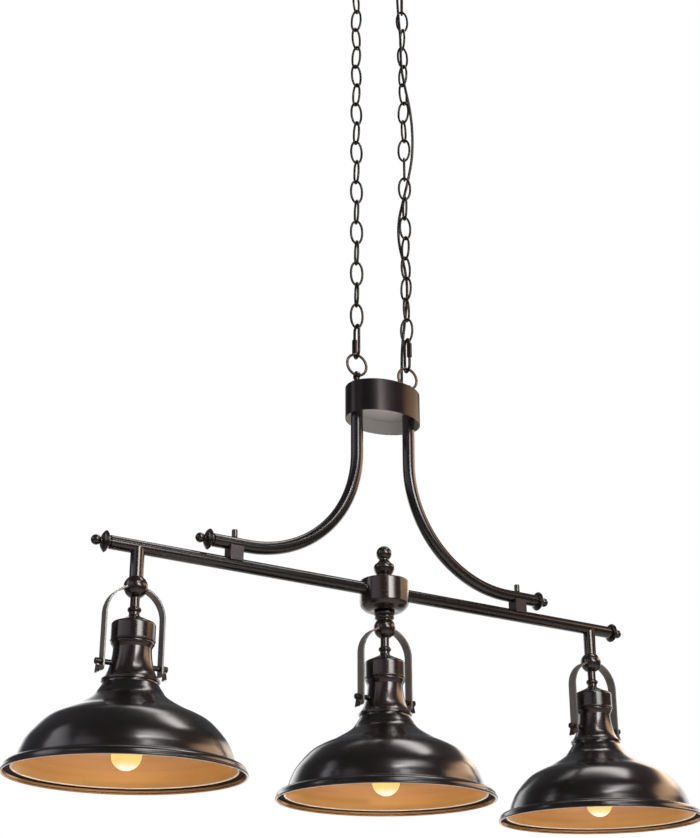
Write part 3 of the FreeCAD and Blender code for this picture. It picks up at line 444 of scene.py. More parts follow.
@dataclass(frozen=True)
class Copper(Finish):
    """Spun copper inside a shade, with the spinning tool's circles and a painted warm glow of the
    bulb near the rim.
    """

    pale: Colour = (0.60, 0.355, 0.20, 1.0)
    # Painted light: the bulb's warm glow, golden low in the shade and fading to the pale copper
    # higher up.
    bulb_glow_gold: Colour = (0.68, 0.43, 0.13, 1.0)
    deep: Colour = (0.38, 0.205, 0.085, 1.0)
    bulb_glow_height: float = 0.04
    metallic: float = 0.5
    roughness: float = 0.34
    gloss_spread: float = 0.16
    broad_count: float = 90.0
    broad_tone: float = 0.55
    broad_relief: float = 0.7
    fine_count: float = 900.0
    fine_tone: float = 0.3
    fine_relief: float = 0.3
    cloud_scale: float = 12.0
    cloud_tone: float = 0.3
    tone_drop: float = 0.1
    ring_depth: float = 0.00035

    def paint(self, tree: FinishTree) -> None:
        """Concentric lines in colour, gloss and relief, with the bulb's glow painted golden
        towards the rim.
        """
        broad = tree.rings(self.broad_count, detail=2.0)
        fine = tree.rings(self.fine_count, detail=3.0)
        cloud = tree.noise(tree.place(), self.cloud_scale, detail=3.0)
        tone = broad * self.broad_tone + fine * self.fine_tone + cloud * self.cloud_tone
        tone = (tone - self.tone_drop).clamped()
        # Painted glow of the bulb: golden near the rim, pale higher up.
        rise = (tree.height() / self.bulb_glow_height).clamped()
        relief = broad * self.broad_relief + fine * self.fine_relief
        tree.feed(tree.shader, {
            "Base Color": tree.mixed(tone, self.deep, tree.mixed(rise, self.bulb_glow_gold, self.pale)),
            "Metallic": self.metallic,
            "Roughness": self.roughness + fine.centred() * self.gloss_spread,
            "Normal": tree.bump(relief, self.ring_depth),
        })


@dataclass(frozen=True)
class Metal(Finish):
    """A plain metal or satin paint with fine lines and faint clouds."""

    grain: Grain = Grain.CAST
    light: Colour = (0.5, 0.48, 0.45, 1.0)
    shadow: Colour = (0.4, 0.38, 0.36, 1.0)
    edge: Colour = (0.6, 0.55, 0.5, 1.0)
    metallic: float = 1.0
    roughness: float = 0.35
    gloss_spread: float = 0.14
    edge_width: float = 0.0008
    edge_gain: float = 2.0
    cloud_scale: float = 40.0
    cloud_tone: float = 0.6
    line_tone: float = 0.4
    line_depth: float = 0.00001

    def paint(self, tree: FinishTree) -> None:
        """Clouds and lines in colour, gloss and relief, with brighter edges."""
        cloud = tree.noise(tree.place(), self.cloud_scale, detail=4.0)
        lines = tree.lines(self.grain)
        wear = (tree.edges(self.edge_width) * self.edge_gain).clamped()
        share = (cloud * self.cloud_tone + lines * self.line_tone).clamped()
        tone = tree.mixed(share, self.shadow, self.light)
        tree.feed(tree.shader, {
            "Base Color": tree.mixed(wear, tone, self.edge),
            "Metallic": self.metallic,
            "Roughness": self.roughness + lines.centred() * self.gloss_spread,
            "Normal": tree.bump(lines, self.line_depth),
        })


@dataclass(frozen=True)
class Plastic(Finish):
    """Moulded or extruded plastic with a fine orange peel."""

    colour: Colour = (0.012, 0.012, 0.012, 1.0)
    faded: Colour = (0.03, 0.029, 0.028, 1.0)
    roughness: float = 0.35
    gloss_spread: float = 0.12
    cloud_scale: float = 60.0
    peel_scale: float = 900.0
    peel_depth: float = 0.00002

    def paint(self, tree: FinishTree) -> None:
        """Faint clouds, and a fine peel in gloss and relief."""
        place = tree.place()
        cloud = tree.noise(place, self.cloud_scale, detail=3.0)
        peel = tree.noise(place, self.peel_scale, detail=2.0)
        tree.feed(tree.shader, {
            "Base Color": tree.mixed(cloud, self.colour, self.faded),
            "Roughness": self.roughness + peel.centred() * self.gloss_spread,
            "Normal": tree.bump(peel, self.peel_depth),
        })


@dataclass(frozen=True)
class LitGlass(Finish):
    """Frosted glass lit from inside, hottest near its tip."""

    hot: Colour = (1.0, 0.95, 0.74, 1.0)
    amber: Colour = (0.93, 0.66, 0.18, 1.0)
    glass: Colour = (0.12, 0.1, 0.07, 1.0)
    strength: float = 1.0
    span: float = 0.012
    roughness: float = 0.3
    frost_scale: float = 420.0
    frost_gloss: float = 0.15
    frost_depth: float = 0.00004

    def paint(self, tree: FinishTree) -> None:
        """A glow that goes from white at the tip to amber at the neck."""
        up = (tree.height() / self.span).clamped()
        frost = tree.noise(tree.place(), self.frost_scale, detail=3.0)
        tree.feed(tree.shader, {
            "Base Color": self.glass,
            "Roughness": self.roughness + frost * self.frost_gloss,
            "Emission Color": tree.mixed(up.eased(), self.hot, self.amber),
            "Emission Strength": self.strength,
            "Normal": tree.bump(frost, self.frost_depth),
        })


BRONZE = Bronze("bronze_lacquer", Slot.BRONZE, brown=(0.042, 0.026, 0.019, 1.0))
DRAWN_BRONZE = Bronze(
    "bronze_lacquer_drawn", Slot.BRONZE, grain=Grain.CAST,
    coat_roughness=0.16, edge_gain=0.0, gloss_spread=0.01, line_depth=0.0,
)
WIRE_BRONZE = Bronze(
    "bronze_wire", Slot.BRONZE, grain=Grain.CAST,
    dark=(0.006, 0.0045, 0.004, 1.0), brown=(0.034, 0.02, 0.013, 1.0), roughness=0.34, coat=0.3,
    cloud_scale=90.0, edge_gain=0.0, gloss_spread=0.01, line_depth=0.0,
)
RING_BRONZE = Bronze(
    "bronze_ring", Slot.BRONZE, grain=Grain.CAST,
    dark=(0.05, 0.03, 0.02, 1.0), brown=(0.15, 0.09, 0.055, 1.0), roughness=0.36, coat=0.4,
    cloud_scale=90.0, edge_gain=0.0, gloss_spread=0.01, line_depth=0.0,
)
# Painted reflection: a greyer, lighter bronze on the saddle blocks, standing in for the bright
# studio that they reflect.
BLOCK_BRONZE_SHEEN = Bronze(
    "bronze_cast_painted_sheen", Slot.BRONZE, grain=Grain.CAST,
    dark=(0.045, 0.04, 0.042, 1.0), brown=(0.075, 0.062, 0.06, 1.0), roughness=0.4, coat=0.8,
)
CAN_BRONZE = LinedBronze(
    "bronze_lacquer_lined", Slot.BRONZE,
    dark=(0.013, 0.0095, 0.0105, 1.0), brown=(0.024, 0.017, 0.0165, 1.0), roughness=0.3,
    specular=0.25, coat=0.2, coat_roughness=0.2, edge_gain=1.6, line_depth=0.0,
)
SHADE_BRONZE = Bronze(
    "bronze_spun", Slot.SHADE, roughness=0.24, coat_roughness=0.17, line_depth=0.000008,
)
SHADE_COPPER = Copper("copper_spun", Slot.SHADE)
# Painted highlight: near-white on the shade's inner fold line and on the rolled rim's lower strip.
SHADE_PAINTED_HIGHLIGHT = Metal(
    "fold_painted_highlight", Slot.SHADE,
    light=(0.92, 0.89, 0.86, 1.0), shadow=(0.84, 0.81, 0.78, 1.0), edge=(0.95, 0.93, 0.9, 1.0),
    metallic=0.15, roughness=0.35,
)
# Partly the flange's own dark bronze, partly painted shade: darker than the bronze and matte, so
# that the flange's inner face reads black.
SHADE_BAND_PAINTED_SHADE = Bronze(
    "bronze_band_painted_shade", Slot.SHADE,
    dark=(0.006, 0.005, 0.005, 1.0), brown=(0.011, 0.008, 0.007, 1.0),
    metallic=0.0, roughness=0.65, specular=0.1, coat=0.0, edge_gain=0.0,
)
SHADE_LIP = Metal(
    "lip_copper", Slot.SHADE, grain=Grain.TURNED,
    light=(0.62, 0.36, 0.17, 1.0), shadow=(0.46, 0.25, 0.11, 1.0), edge=(0.6, 0.38, 0.2, 1.0),
    metallic=0.85, roughness=0.22, line_depth=0.0,
)
# Painted reflection: the straps' light grey-tan, with little metal, stands in for the white studio
# that their flat faces reflect.
STRAP = Metal(
    "strap_painted_sheen", Slot.STRAP,
    light=(0.30, 0.27, 0.245, 1.0), shadow=(0.20, 0.178, 0.158, 1.0), edge=(0.55, 0.5, 0.45, 1.0),
    metallic=0.6, roughness=0.4,
)
COVER = Metal(
    "cover_satin", Slot.COVER,
    light=(0.72, 0.71, 0.69, 1.0), shadow=(0.67, 0.66, 0.64, 1.0), edge=(0.74, 0.72, 0.7, 1.0),
    metallic=0.1, roughness=0.5,
)
STEEL = Metal("zinc_steel", Slot.STEEL)
CORD = Plastic(
    "cord_sheath", Slot.CORD,
    colour=(0.011, 0.008, 0.007, 1.0), faded=(0.017, 0.012, 0.01, 1.0),
    roughness=0.33, peel_scale=300.0,
)
PLASTIC = Plastic("bushing_plastic", Slot.PLASTIC)
HOLDER = Plastic(
    "holder_moulding", Slot.HOLDER, colour=(0.02, 0.018, 0.017, 1.0), roughness=0.45,
)
GLASS = LitGlass("bulb_frosted", Slot.GLASS)
BULB_BASE = Metal(
    "bulb_thread", Slot.BASE,
    light=(0.72, 0.6, 0.36, 1.0), shadow=(0.6, 0.5, 0.3, 1.0), roughness=0.25,
)
FLOOR_PAPER = Plastic(
    "floor_paper", Slot.PLASTIC,
    colour=(0.83, 0.83, 0.82, 1.0), faded=(0.8, 0.8, 0.79, 1.0),
    roughness=0.7, peel_scale=30.0, peel_depth=0.0001,
)
PLAIN_FINISHES = {
    finish.slot: finish
    for finish in (
        BRONZE, SHADE_BRONZE, STRAP, COVER, STEEL, CORD, PLASTIC, HOLDER, GLASS, BULB_BASE,
    )
}
NODE_FINISHES = {
    "arm_left": DRAWN_BRONZE,
    "arm_right": DRAWN_BRONZE,
    "bar_left": DRAWN_BRONZE,
    "bar_right": DRAWN_BRONZE,
    "can_shell": CAN_BRONZE,
    "saddle_blocks": BLOCK_BRONZE_SHEEN,
}


def turns(count: int) -> list[float]:
    """Angles of points spread evenly round a circle."""
    return [2 * pi * step / count for step in range(count)]


def put(name: str, data: bpy.types.ID) -> bpy.types.Object:
    """A new object of that name and data, linked into the scene."""
    thing = bpy.data.objects.new(name, data)
    bpy.context.scene.collection.objects.link(thing)
    return thing


@dataclass
class Skin:
    """A mesh while it is made: points, faces and each face's finish."""

    # A turned point nearer to the axis than this is a pole.
    POLE: ClassVar[float] = 1e-7

    points: list[Vector] = field(default_factory=list)
    faces: list[tuple[int, ...]] = field(default_factory=list)
    finishes: list[int] = field(default_factory=list)

    def bridge(
        self, rings: list[list[Vector]], closed: bool = False, finishes: list[int] | None = None
    ) -> None:
        """Join rings of points by strips of faces.

        Args:
            rings: rings of equal size, or of one point at a pole.
            closed: whether the last ring joins the first.
            finishes: a finish number for each strip.
        """
        indices = []
        for ring in rings:
            indices.append(range(len(self.points), len(self.points) + len(ring)))
            self.points.extend(ring)
        pairs = list(zip(indices, indices[1:]))
        if closed:
            pairs.append((indices[-1], indices[0]))
        for number, (first, second) in enumerate(pairs):
            finish = finishes[number] if finishes else 0
            count = max(len(first), len(second))
            for side in range(count):
                after = (side + 1) % count
                near = (first[side], first[after]) if len(first) > 1 else (first[0],)
                far = (second[after], second[side]) if len(second) > 1 else (second[0],)
                self.faces.append(near + far)
                self.finishes.append(finish)

    def lathe(
        self, profile: Profile, steps: int, finishes: list[int] | None = None, closed: bool = False
    ) -> None:
        """Turn a profile about the upright axis.

        Args:
            profile: radius and height of each point.
            steps: points round a circle.
            finishes: a finish number for each stretch of the profile.
            closed: whether the profile's end joins its start.
        """
        rings = []
        for radius, height in profile:
            if radius < self.POLE:
                rings.append([Vector((0, 0, height))])
            else:
                rings.append([
                    Vector((radius * cos(turn), radius * sin(turn), height))
                    for turn in turns(steps)
                ])
        self.bridge(rings, closed, finishes)

    def moved(self, matrix: Matrix) -> "Skin":
        """A copy of the skin, moved by a matrix."""
        points = [matrix @ point for point in self.points]
        return Skin(points, list(self.faces), list(self.finishes))

    def join(self, other: "Skin") -> None:
        """Take in another skin's points and faces."""
        start = len(self.points)
        self.points += other.points
        self.faces += [tuple(start + index for index in face) for face in other.faces]
        self.finishes += other.finishes

    def piece(self, name: str, finishes: list[Finish], sharp: float = 40.0) -> bpy.types.Object:
        """Make the Blender object.

        Args:
            name: the piece's name.
            finishes: the finishes that the faces' numbers choose from.
            sharp: faces that meet at more than this angle keep a hard edge.

        Returns:
            The new object, at the origin.
        """
        mesh = bpy.data.meshes.new(name)
        mesh.from_pydata(self.points, [], self.faces)
        for finish in finishes:
            mesh.materials.append(finish.material())
        mesh.polygons.foreach_set("material_index", self.finishes)
        shape = bmesh.new()
        shape.from_mesh(mesh)
        bmesh.ops.recalc_face_normals(shape, faces=shape.faces)
        for face in shape.faces:
            face.smooth = True
        shape.to_mesh(mesh)
        shape.free()
        mesh.set_sharp_from_angle(angle=radians(sharp))
        return put(name, mesh)


def stand_for(piece: bpy.types.Object, slot: Slot, *nodes: str) -> None:
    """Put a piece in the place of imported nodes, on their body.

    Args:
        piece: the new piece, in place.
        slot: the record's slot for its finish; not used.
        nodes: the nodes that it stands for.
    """
    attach(piece, frame["nodes"][nodes[0]]["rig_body"])
    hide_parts(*nodes)
    log.info("%s stands for %s", piece.name, ", ".join(nodes))


def flowing(points: Profile, steps: int) -> Profile:
    """A smooth line through the points of a profile.

    Args:
        points: the points that it passes.
        steps: stretches between two points.

    Returns:
        The line's points.
    """
    first = tuple(2 * a - b for a, b in zip(points[0], points[1]))
    last = tuple(2 * a - b for a, b in zip(points[-1], points[-2]))
    knots = [first, *points, last]
    line = []
    for before, start, end, after in zip(knots, knots[1:], knots[2:], knots[3:]):
        for step in range(steps):
            t = step / steps
            line.append(tuple(
                0.5 * (2 * b + (c - a) * t + (2 * a - 5 * b + 4 * c - d) * t ** 2
                       + (3 * b - a - 3 * c + d) * t ** 3)
                for a, b, c, d in zip(before, start, end, after)
            ))
    line.append(points[-1])
    return line


def inset_profile(line: Profile, inset: float) -> Profile:
    """A profile moved square to itself, towards the axis.

    Args:
        line: the profile's points, from the top down.
        inset: how far it is moved.

    Returns:
        The moved points.
    """
    moved = []
    for before, here, after in zip([line[0], *line], line, [*line[1:], line[-1]]):
        along = Vector((after[0] - before[0], after[1] - before[1])).normalized()
        moved.append((here[0] + along.y * inset, here[1] - along.x * inset))
    return moved


def bend(
    centre: tuple[float, float], radius: float, start: float, end: float, steps: int
) -> Profile:
    """Points along an arc of a profile.

    Args:
        centre: radius and height of the arc's centre.
        radius: the arc's own radius.
        start: angle of its first point, in degrees.
        end: angle of its last point, in degrees.
        steps: stretches along it.

    Returns:
        The arc's points.
    """
    angles = [radians(start + (end - start) * step / steps) for step in range(steps + 1)]
    return [(centre[0] + radius * cos(turn), centre[1] + radius * sin(turn)) for turn in angles]


@dataclass(frozen=True)
class Twist:
    """How one chain hangs, in degrees from the bar's line, counted up from the can.

    Attributes:
        start: the lowest link's turn.
        gain: turn that gathers over the chain's height.
        growth: power of the height by which it gathers.
        lower_quick: the lower quick link's turn.
        upper_quick: the upper quick link's turn.
        lower_nut_end: 1 if the lower quick link's nut sits high on it, -1 if low.
    """

    start: float
    gain: float
    growth: float
    lower_quick: float
    upper_quick: float
    lower_nut_end: int

    def link(self, share: float) -> float:
        """Turn that has gathered at a share of the chain's height."""
        return self.start + self.gain * share ** self.growth


TWISTS = {
    "left": Twist(
        start=-18.0, gain=61.0, growth=2.2, lower_quick=-100.0, upper_quick=68.0, lower_nut_end=-1,
    ),
    "right": Twist(
        start=-51.0, gain=-168.0, growth=1.0, lower_quick=80.0, upper_quick=-60.0, lower_nut_end=1,
    ),
}


@dataclass
class WireSuspension:
    """The two chains, their quick links and the rings that they hang from."""

    links: int = 18
    link_wire: float = 0.0042
    link_width: float = 0.0249
    link_length: float = 0.05
    link_oval: float = 0.9
    link_turn: float = 90.0
    seam: float = 0.0005
    # Heights along the leg, in seams, and shares of the wire's thickness there.
    seam_shape: tuple[tuple[float, float], ...] = (
        (2, 1.0), (1, 1.06), (0.3, 0.9), (-0.3, 0.9), (-1, 1.06), (-2, 1.0),
    )
    quick_wire: float = 0.005
    quick_width: float = 0.025
    quick_length: float = 0.067
    nut_diameter: float = 0.009
    nut_length: float = 0.027
    nut_offset: float = 0.006
    nut_sides: int = 6
    nut_turned: float = 0.88
    nut_chamfer: float = 0.22
    nut_sharp: float = 25.0
    ring_wire: float = 0.0048
    wire_sides: int = 14
    bend_steps: int = 16

    def loop(
        self, length: float, width: float, wire: float, oval: float = 0.0, seam: bool = False
    ) -> Skin:
        """A round wire bent to a long loop in the XZ plane.

        Args:
            length: outside length.
            width: outside width.
            wire: the wire's diameter.
            oval: 0 for straight legs with round ends, 1 for an ellipse.
            seam: whether the butt joint shows on one leg.

        Returns:
            The loop's skin.
        """
        radius = (width - wire) / 2
        straight = ((length - wire) / 2 - radius) * (1 - oval)
        rise = (length - wire) / 2 - straight
        stations = []
        for end in (1, -1):
            for step in range(self.bend_steps + 1):
                turn = pi * step / self.bend_steps + (0 if end > 0 else pi)
                middle = Vector((radius * cos(turn), 0, rise * sin(turn) + end * straight))
                outward = Vector((rise * cos(turn), 0, radius * sin(turn))).normalized()
                stations.append((middle, outward, 1.0))
            if seam and end > 0:
                for height, share in self.seam_shape:
                    middle = Vector((-radius, 0, height * self.seam))
                    stations.append((middle, Vector((-1, 0, 0)), share))
        rings = []
        for middle, outward, share in stations:
            ring = []
            for turn in turns(self.wire_sides):
                across = outward * cos(turn) + Vector((0, 1, 0)) * sin(turn)
                ring.append(middle + across * (share * wire / 2))
            rings.append(ring)
        skin = Skin()
        skin.bridge(rings, closed=True)
        return skin

    @staticmethod
    def placed(skin: Skin, x: float, z: float, turn: float) -> Skin:
        """A skin turned about its height and hung on a chain's line.

        Args:
            skin: the skin to place.
            x: the chain's place along the bar.
            z: the skin's height.
            turn: its turn, in degrees.

        Returns:
            The placed copy.
        """
        return skin.moved(Matrix.Translation((x, 0, z)) @ Matrix.Rotation(radians(turn), 4, "Z"))

    def chain(self, side: str) -> None:
        """Hang one chain's links."""
        low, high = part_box("chain_" + side)
        x = (low.x + high.x) / 2
        first = low.z + self.link_length / 2
        pitch = (high.z - low.z - self.link_length) / (self.links - 1)
        link = self.loop(
            self.link_length, self.link_width, self.link_wire, self.link_oval, seam=True
        )
        skin = Skin()
        for index in range(self.links):
            turn = TWISTS[side].link(index / self.links) + self.link_turn * (index % 2)
            skin.join(self.placed(link, x, first + index * pitch, turn))
        piece = skin.piece("chain_links_" + side, [WIRE_BRONZE])
        stand_for(piece, Slot.BRONZE, "chain_" + side)

    def quick_places(self, side: str) -> list[tuple[float, float, float, int]]:
        """Place along the bar, height, turn and nut end of a chain's two quick links."""
        low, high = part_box("quick_links_" + side)
        x = (low.x + high.x) / 2
        half = self.quick_length / 2
        twist = TWISTS[side]
        return [
            (x, low.z + half, twist.lower_quick, twist.lower_nut_end),
            (x, high.z - half, twist.upper_quick, 1),
        ]

    def quick_links(self, side: str) -> None:
        """Hang one chain's quick links and their nuts."""
        body = self.loop(self.quick_length, self.quick_width, self.quick_wire)
        bodies = Skin()
        nuts = Skin()
        for x, z, turn, nut_end in self.quick_places(side):
            bodies.join(self.placed(body, x, z, turn))
            nuts.join(self.placed(self.nut(nut_end), x, z, turn))
        piece = bodies.piece("quick_wire_" + side, [WIRE_BRONZE])
        stand_for(piece, Slot.BRONZE, "quick_links_" + side)
        piece = nuts.piece("quick_nuts_" + side, [WIRE_BRONZE], self.nut_sharp)
        stand_for(piece, Slot.BRONZE, "quick_link_nuts_" + side)

    def nut(self, nut_end: int) -> Skin:
        """A long hexagonal nut with turned ends, on its leg of the quick link."""
        radius = self.nut_diameter / 2
        bore = self.quick_wire / 2
        half = self.nut_length / 2
        turned = radius * self.nut_turned
        chamfer = half - radius * self.nut_chamfer
        profile = [
            (bore, -half), (turned, -half), (radius, -chamfer),
            (radius, chamfer), (turned, half), (bore, half),
        ]
        skin = Skin()
        skin.lathe(profile, self.nut_sides, closed=True)
        leg = (self.quick_width - self.quick_wire) / 2
        return skin.moved(Matrix.Translation((-leg, 0, nut_end * self.nut_offset)))

    def rings(self, node: str) -> None:
        """Hang a pair of rings."""
        low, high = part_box(node)
        size = high.z - low.z
        ring = self.loop(size, size, self.ring_wire)
        skin = Skin()
        for x in (low.x + size / 2, high.x - size / 2):
            skin.join(self.placed(ring, x, (low.z + high.z) / 2, 0))
        piece = skin.piece(node.replace("rings", "wire_rings"), [RING_BRONZE])
        stand_for(piece, Slot.BRONZE, node)

    def build(self) -> None:
        """Make the whole suspension."""
        for side in SIDES:
            self.chain(side)
            self.quick_links(side)
        self.rings("top_rings")
        self.rings("bottom_rings")


@dataclass(frozen=True)
class CordSpan:
    """A stretch of the cord.

    Attributes:
        name: the piece's name.
        upper: the body at its top; not used.
        lower: the body at its bottom; not used.
        top: height of its upper end.
        bottom: height of its lower end.
        bend_top: height where it starts to leave the upper body; not used.
        bend_bottom: height where it has joined the lower body; not used.
    """

    name: str
    upper: str
    lower: str
    top: float
    bottom: float
    bend_top: float
    bend_bottom: float


@dataclass
class SupplyCord:
    """The cord that winds down the right chain from the canopy to the can."""

    diameter: float = 0.005
    sides: int = 16
    spline_steps: int = 8
    sharp: float = 60.0
    slack: float = 0.06
    sway_bend: float = 0.1
    route: tuple[Triple, ...] = (
        (0.040, -0.019, -0.0225),
        (0.040, -0.019, -0.045),
        (0.039, -0.019, -0.072),
        (0.038, -0.015, -0.105),
        (0.034, -0.010, -0.150),
        (0.036, -0.012, -0.205),
        (0.039, -0.014, -0.262),
        (0.039, -0.013, -0.318),
        (0.045, -0.017, -0.368),
        (0.055, -0.018, -0.412),
        (0.064, -0.012, -0.458),
        (0.070, -0.001, -0.504),
        (0.067, 0.010, -0.548),
        (0.059, 0.017, -0.594),
        (0.049, 0.018, -0.640),
        (0.050, 0.019, -0.684),
        (0.060, 0.016, -0.728),
        (0.064, 0.013, -0.772),
        (0.062, 0.015, -0.818),
        (0.058, 0.018, -0.860),
        (0.054, 0.019, -0.898),
        (0.053, 0.019, -0.932),
        (0.052, 0.018, -0.960),
        (0.051, 0.017, -0.985),
        (0.051, 0.017, -1.0068),
    )

    def line(self) -> list[Vector]:
        """The cord's smooth middle, read from a spline along its route."""
        curve = bpy.data.curves.new("supply_cord_line", "CURVE")
        curve.dimensions = "3D"
        spline = curve.splines.new("NURBS")
        spline.points.add(len(self.route) - 1)
        for point, place in zip(spline.points, self.route):
            point.co = (*place, 1.0)
        spline.order_u = 3
        spline.use_endpoint_u = True
        spline.resolution_u = self.spline_steps
        guide = bpy.data.objects.new("supply_cord_line", curve)
        mesh = bpy.data.meshes.new_from_object(guide)
        points = [vertex.co.copy() for vertex in mesh.vertices]
        bpy.data.meshes.remove(mesh)
        bpy.data.curves.remove(curve)
        return points

    @staticmethod
    def cut(line: list[Vector], top: float, bottom: float) -> list[Vector]:
        """The part of a falling line between two heights.

        Args:
            line: the line's points, from the top down.
            top: the part's upper height.
            bottom: its lower height.

        Returns:
            The part's points, with one at each height.
        """
        part = []
        for start, end in zip(line, line[1:]):
            inside = [height for height in (top, bottom) if start.z > height > end.z]
            if bottom <= start.z <= top:
                part.append(start)
            part += [start.lerp(end, (start.z - height) / (start.z - end.z)) for height in inside]
        if bottom <= line[-1].z <= top:
            part.append(line[-1])
        return part

    def tube(self, part: list[Vector]) -> Skin:
        """A closed round tube along a part of the line."""
        rings = [[part[0]]]
        for before, here, after in zip([part[0], *part], part, [*part[1:], part[-1]]):
            along = (after - before).normalized()
            across = (Vector((1, 0, 0)) - along * along.x).normalized()
            beside = along.cross(across)
            rings.append([
                here + (across * cos(turn) + beside * sin(turn)) * (self.diameter / 2)
                for turn in turns(self.sides)
            ])
        skin = Skin()
        skin.bridge([*rings, [part[-1]]])
        return skin

    def spans(self) -> tuple[CordSpan, ...]:
        """The cord's stretches, cut at the heights where the suspension's bodies change."""
        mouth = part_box("canopy_cord_bushing")[0].z
        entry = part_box("can_cord_bushing")[1].z
        low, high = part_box("bottom_rings")
        pivot = (low.z + high.z) / 2
        loose = mouth - self.slack
        swaying = loose - self.sway_bend
        top = self.route[0][2]
        foot = self.route[-1][2]
        return (
            CordSpan("supply_cord_top", "canopy", "top_rings", top, loose, mouth, loose),
            CordSpan("supply_cord_hang", "top_rings", "right_chain", loose, pivot, loose, swaying),
            CordSpan("supply_cord_foot", "bottom_rings", "fixture", pivot, foot, pivot, entry),
        )

    def build(self) -> None:
        """Lay the cord along its route, in stretches cut where the suspension's bodies change."""
        line = self.line()
        for span in self.spans():
            part = self.cut(line, span.top, span.bottom)
            piece = self.tube(part).piece(span.name, [CORD], self.sharp)
            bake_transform(piece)
            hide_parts("supply_cord")
            length = sum((end - start).length for start, end in zip(part, part[1:]))
            log.info("%s is %.0f mm long", span.name, 1000 * length)


class Side(Enum):
    """The finishes of a shade's skin, by their place in its list."""

    OUTSIDE = 0
    COPPER = 1
    # The painted highlight: near-white on the fold line and on the rolled rim's lower strip.
    FOLD = 2
    LIP = 3
    # Painted shade: the near-black matte band on the flange's inner face.
    BAND = 4


@dataclass
class SpunShade:
    """A lamp's domed shade, spun from one sheet with a folded flange and a rolled rim."""

    sheet: float = 0.0015
    hole_radius: float = 0.0051
    collar_radius: float = 0.0405
    collar_corner: float = 0.0015
    clamp_depth: float = 0.005
    base_radius: float = 0.154
    base_height: float = 0.016
    top_height: float = 0.135
    step: float = 0.002
    step_height: float = 0.0012
    step_level: float = 0.85
    step_drop: float = 0.0003
    rim_radius: float = 0.1725
    rim_swell: float = 0.001
    bead: float = 0.004
    # Shares of the bell's width and fall.
    curve: Profile = field(default_factory=lambda: [
        (0.0, 0.0), (0.05, 0.078), (0.132, 0.18), (0.366, 0.324), (0.559, 0.414),
        (0.709, 0.512), (0.885, 0.714), (0.963, 0.875), (1.0, 1.0),
    ])
    # Shares of the flange's width and fall.
    shoulder: Profile = field(default_factory=lambda: [
        (0.0, 0.0), (0.35, 0.07), (0.65, 0.22), (0.88, 0.52), (1.0, 1.0),
    ])
    curve_steps: int = 6
    roll_steps: int = 16
    # Points along the rolled rim where its bronze ends and where its painted highlight ends.
    roll_bronze: int = 7
    roll_highlight_end: int = 11
    fold_radius: float = 0.158
    fold_height: float = 0.0083
    fold_wire: float = 0.0011
    hem_width: float = 0.0002
    hem_height: float = 0.0003
    lip_height: float = 0.0063
    steps: int = 160

    def dome(self, inset: float) -> Profile:
        """The dome's bell, moved inwards.

        Args:
            inset: distance inside the outer face.

        Returns:
            The bell's points, from the collar down.
        """
        width = self.base_radius - self.collar_radius
        top = self.top_height - self.clamp_depth
        height = top - self.base_height
        knots = [(self.collar_radius + width * a, top - height * d) for a, d in self.curve]
        return inset_profile(flowing(knots, self.curve_steps), inset)

    def flange(self) -> Profile:
        """The flange's rounded shoulder, from the dome's foot out to the upright lip."""
        start = self.base_radius + self.step
        width = self.rim_radius - self.rim_swell - start
        top = self.base_height - self.step_height
        height = top - self.bead
        knots = [(start + width * a, top - height * d) for a, d in self.shoulder]
        return flowing(knots, self.curve_steps)

    def skin(self) -> Skin:
        """The whole shade, standing on its rim."""
        top = self.top_height
        ceiling = top - self.sheet
        collar = self.collar_radius
        corner = self.collar_corner
        base = self.base_radius
        bead = self.bead / 2
        flange = self.flange()
        outside = [
            (self.hole_radius, top),
            *bend((collar - corner, top - corner), corner, start=90, end=0, steps=5),
            *self.dome(0.0),
            (base + self.step * self.step_level, self.base_height),
            (base + self.step, self.base_height - self.step_drop),
            *flange,
        ]
        middle = (self.rim_radius - bead, bead)
        roll = bend(middle, bead, start=40, end=-180, steps=self.roll_steps)
        under = reversed(inset_profile(flange, self.sheet))
        lip = [place for place in under if place[1] < self.lip_height]
        middle = (self.fold_radius, self.fold_height)
        fold = bend(middle, self.fold_wire, start=0, end=-180, steps=8)
        band = [(lip[-1][0] - self.fold_wire / 2, self.lip_height), fold[0]]
        copper = [
            (fold[-1][0] - self.hem_width, self.fold_height + self.hem_height),
            *reversed(self.dome(self.sheet)),
            (collar - self.sheet, ceiling),
            (self.hole_radius, ceiling),
        ]
        stretches = (
            (Side.OUTSIDE, outside + roll[:self.roll_bronze]),
            (Side.FOLD, roll[self.roll_bronze:self.roll_highlight_end]),
            (Side.LIP, roll[self.roll_highlight_end:] + lip),
            (Side.BAND, band),
            (Side.FOLD, fold),
            (Side.COPPER, copper),
        )
        profile = []
        numbers = []
        for side, places in stretches:
            profile += places
            numbers += [side.value] * len(places)
        skin = Skin()
        skin.lathe(profile, self.steps, numbers, closed=True)
        return skin

    def build(self, lamp: str) -> None:
        """Hang a lamp's shade."""
        node = lamp + "_shade"
        low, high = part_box(node)
        finishes = [SHADE_BRONZE, SHADE_COPPER, SHADE_PAINTED_HIGHLIGHT, SHADE_LIP, SHADE_BAND_PAINTED_SHADE]
        piece = self.skin().piece(lamp + "_spun_shade", finishes)
        piece.location = ((low.x + high.x) / 2, (low.y + high.y) / 2, low.z)
        stand_for(piece, Slot.SHADE, node)


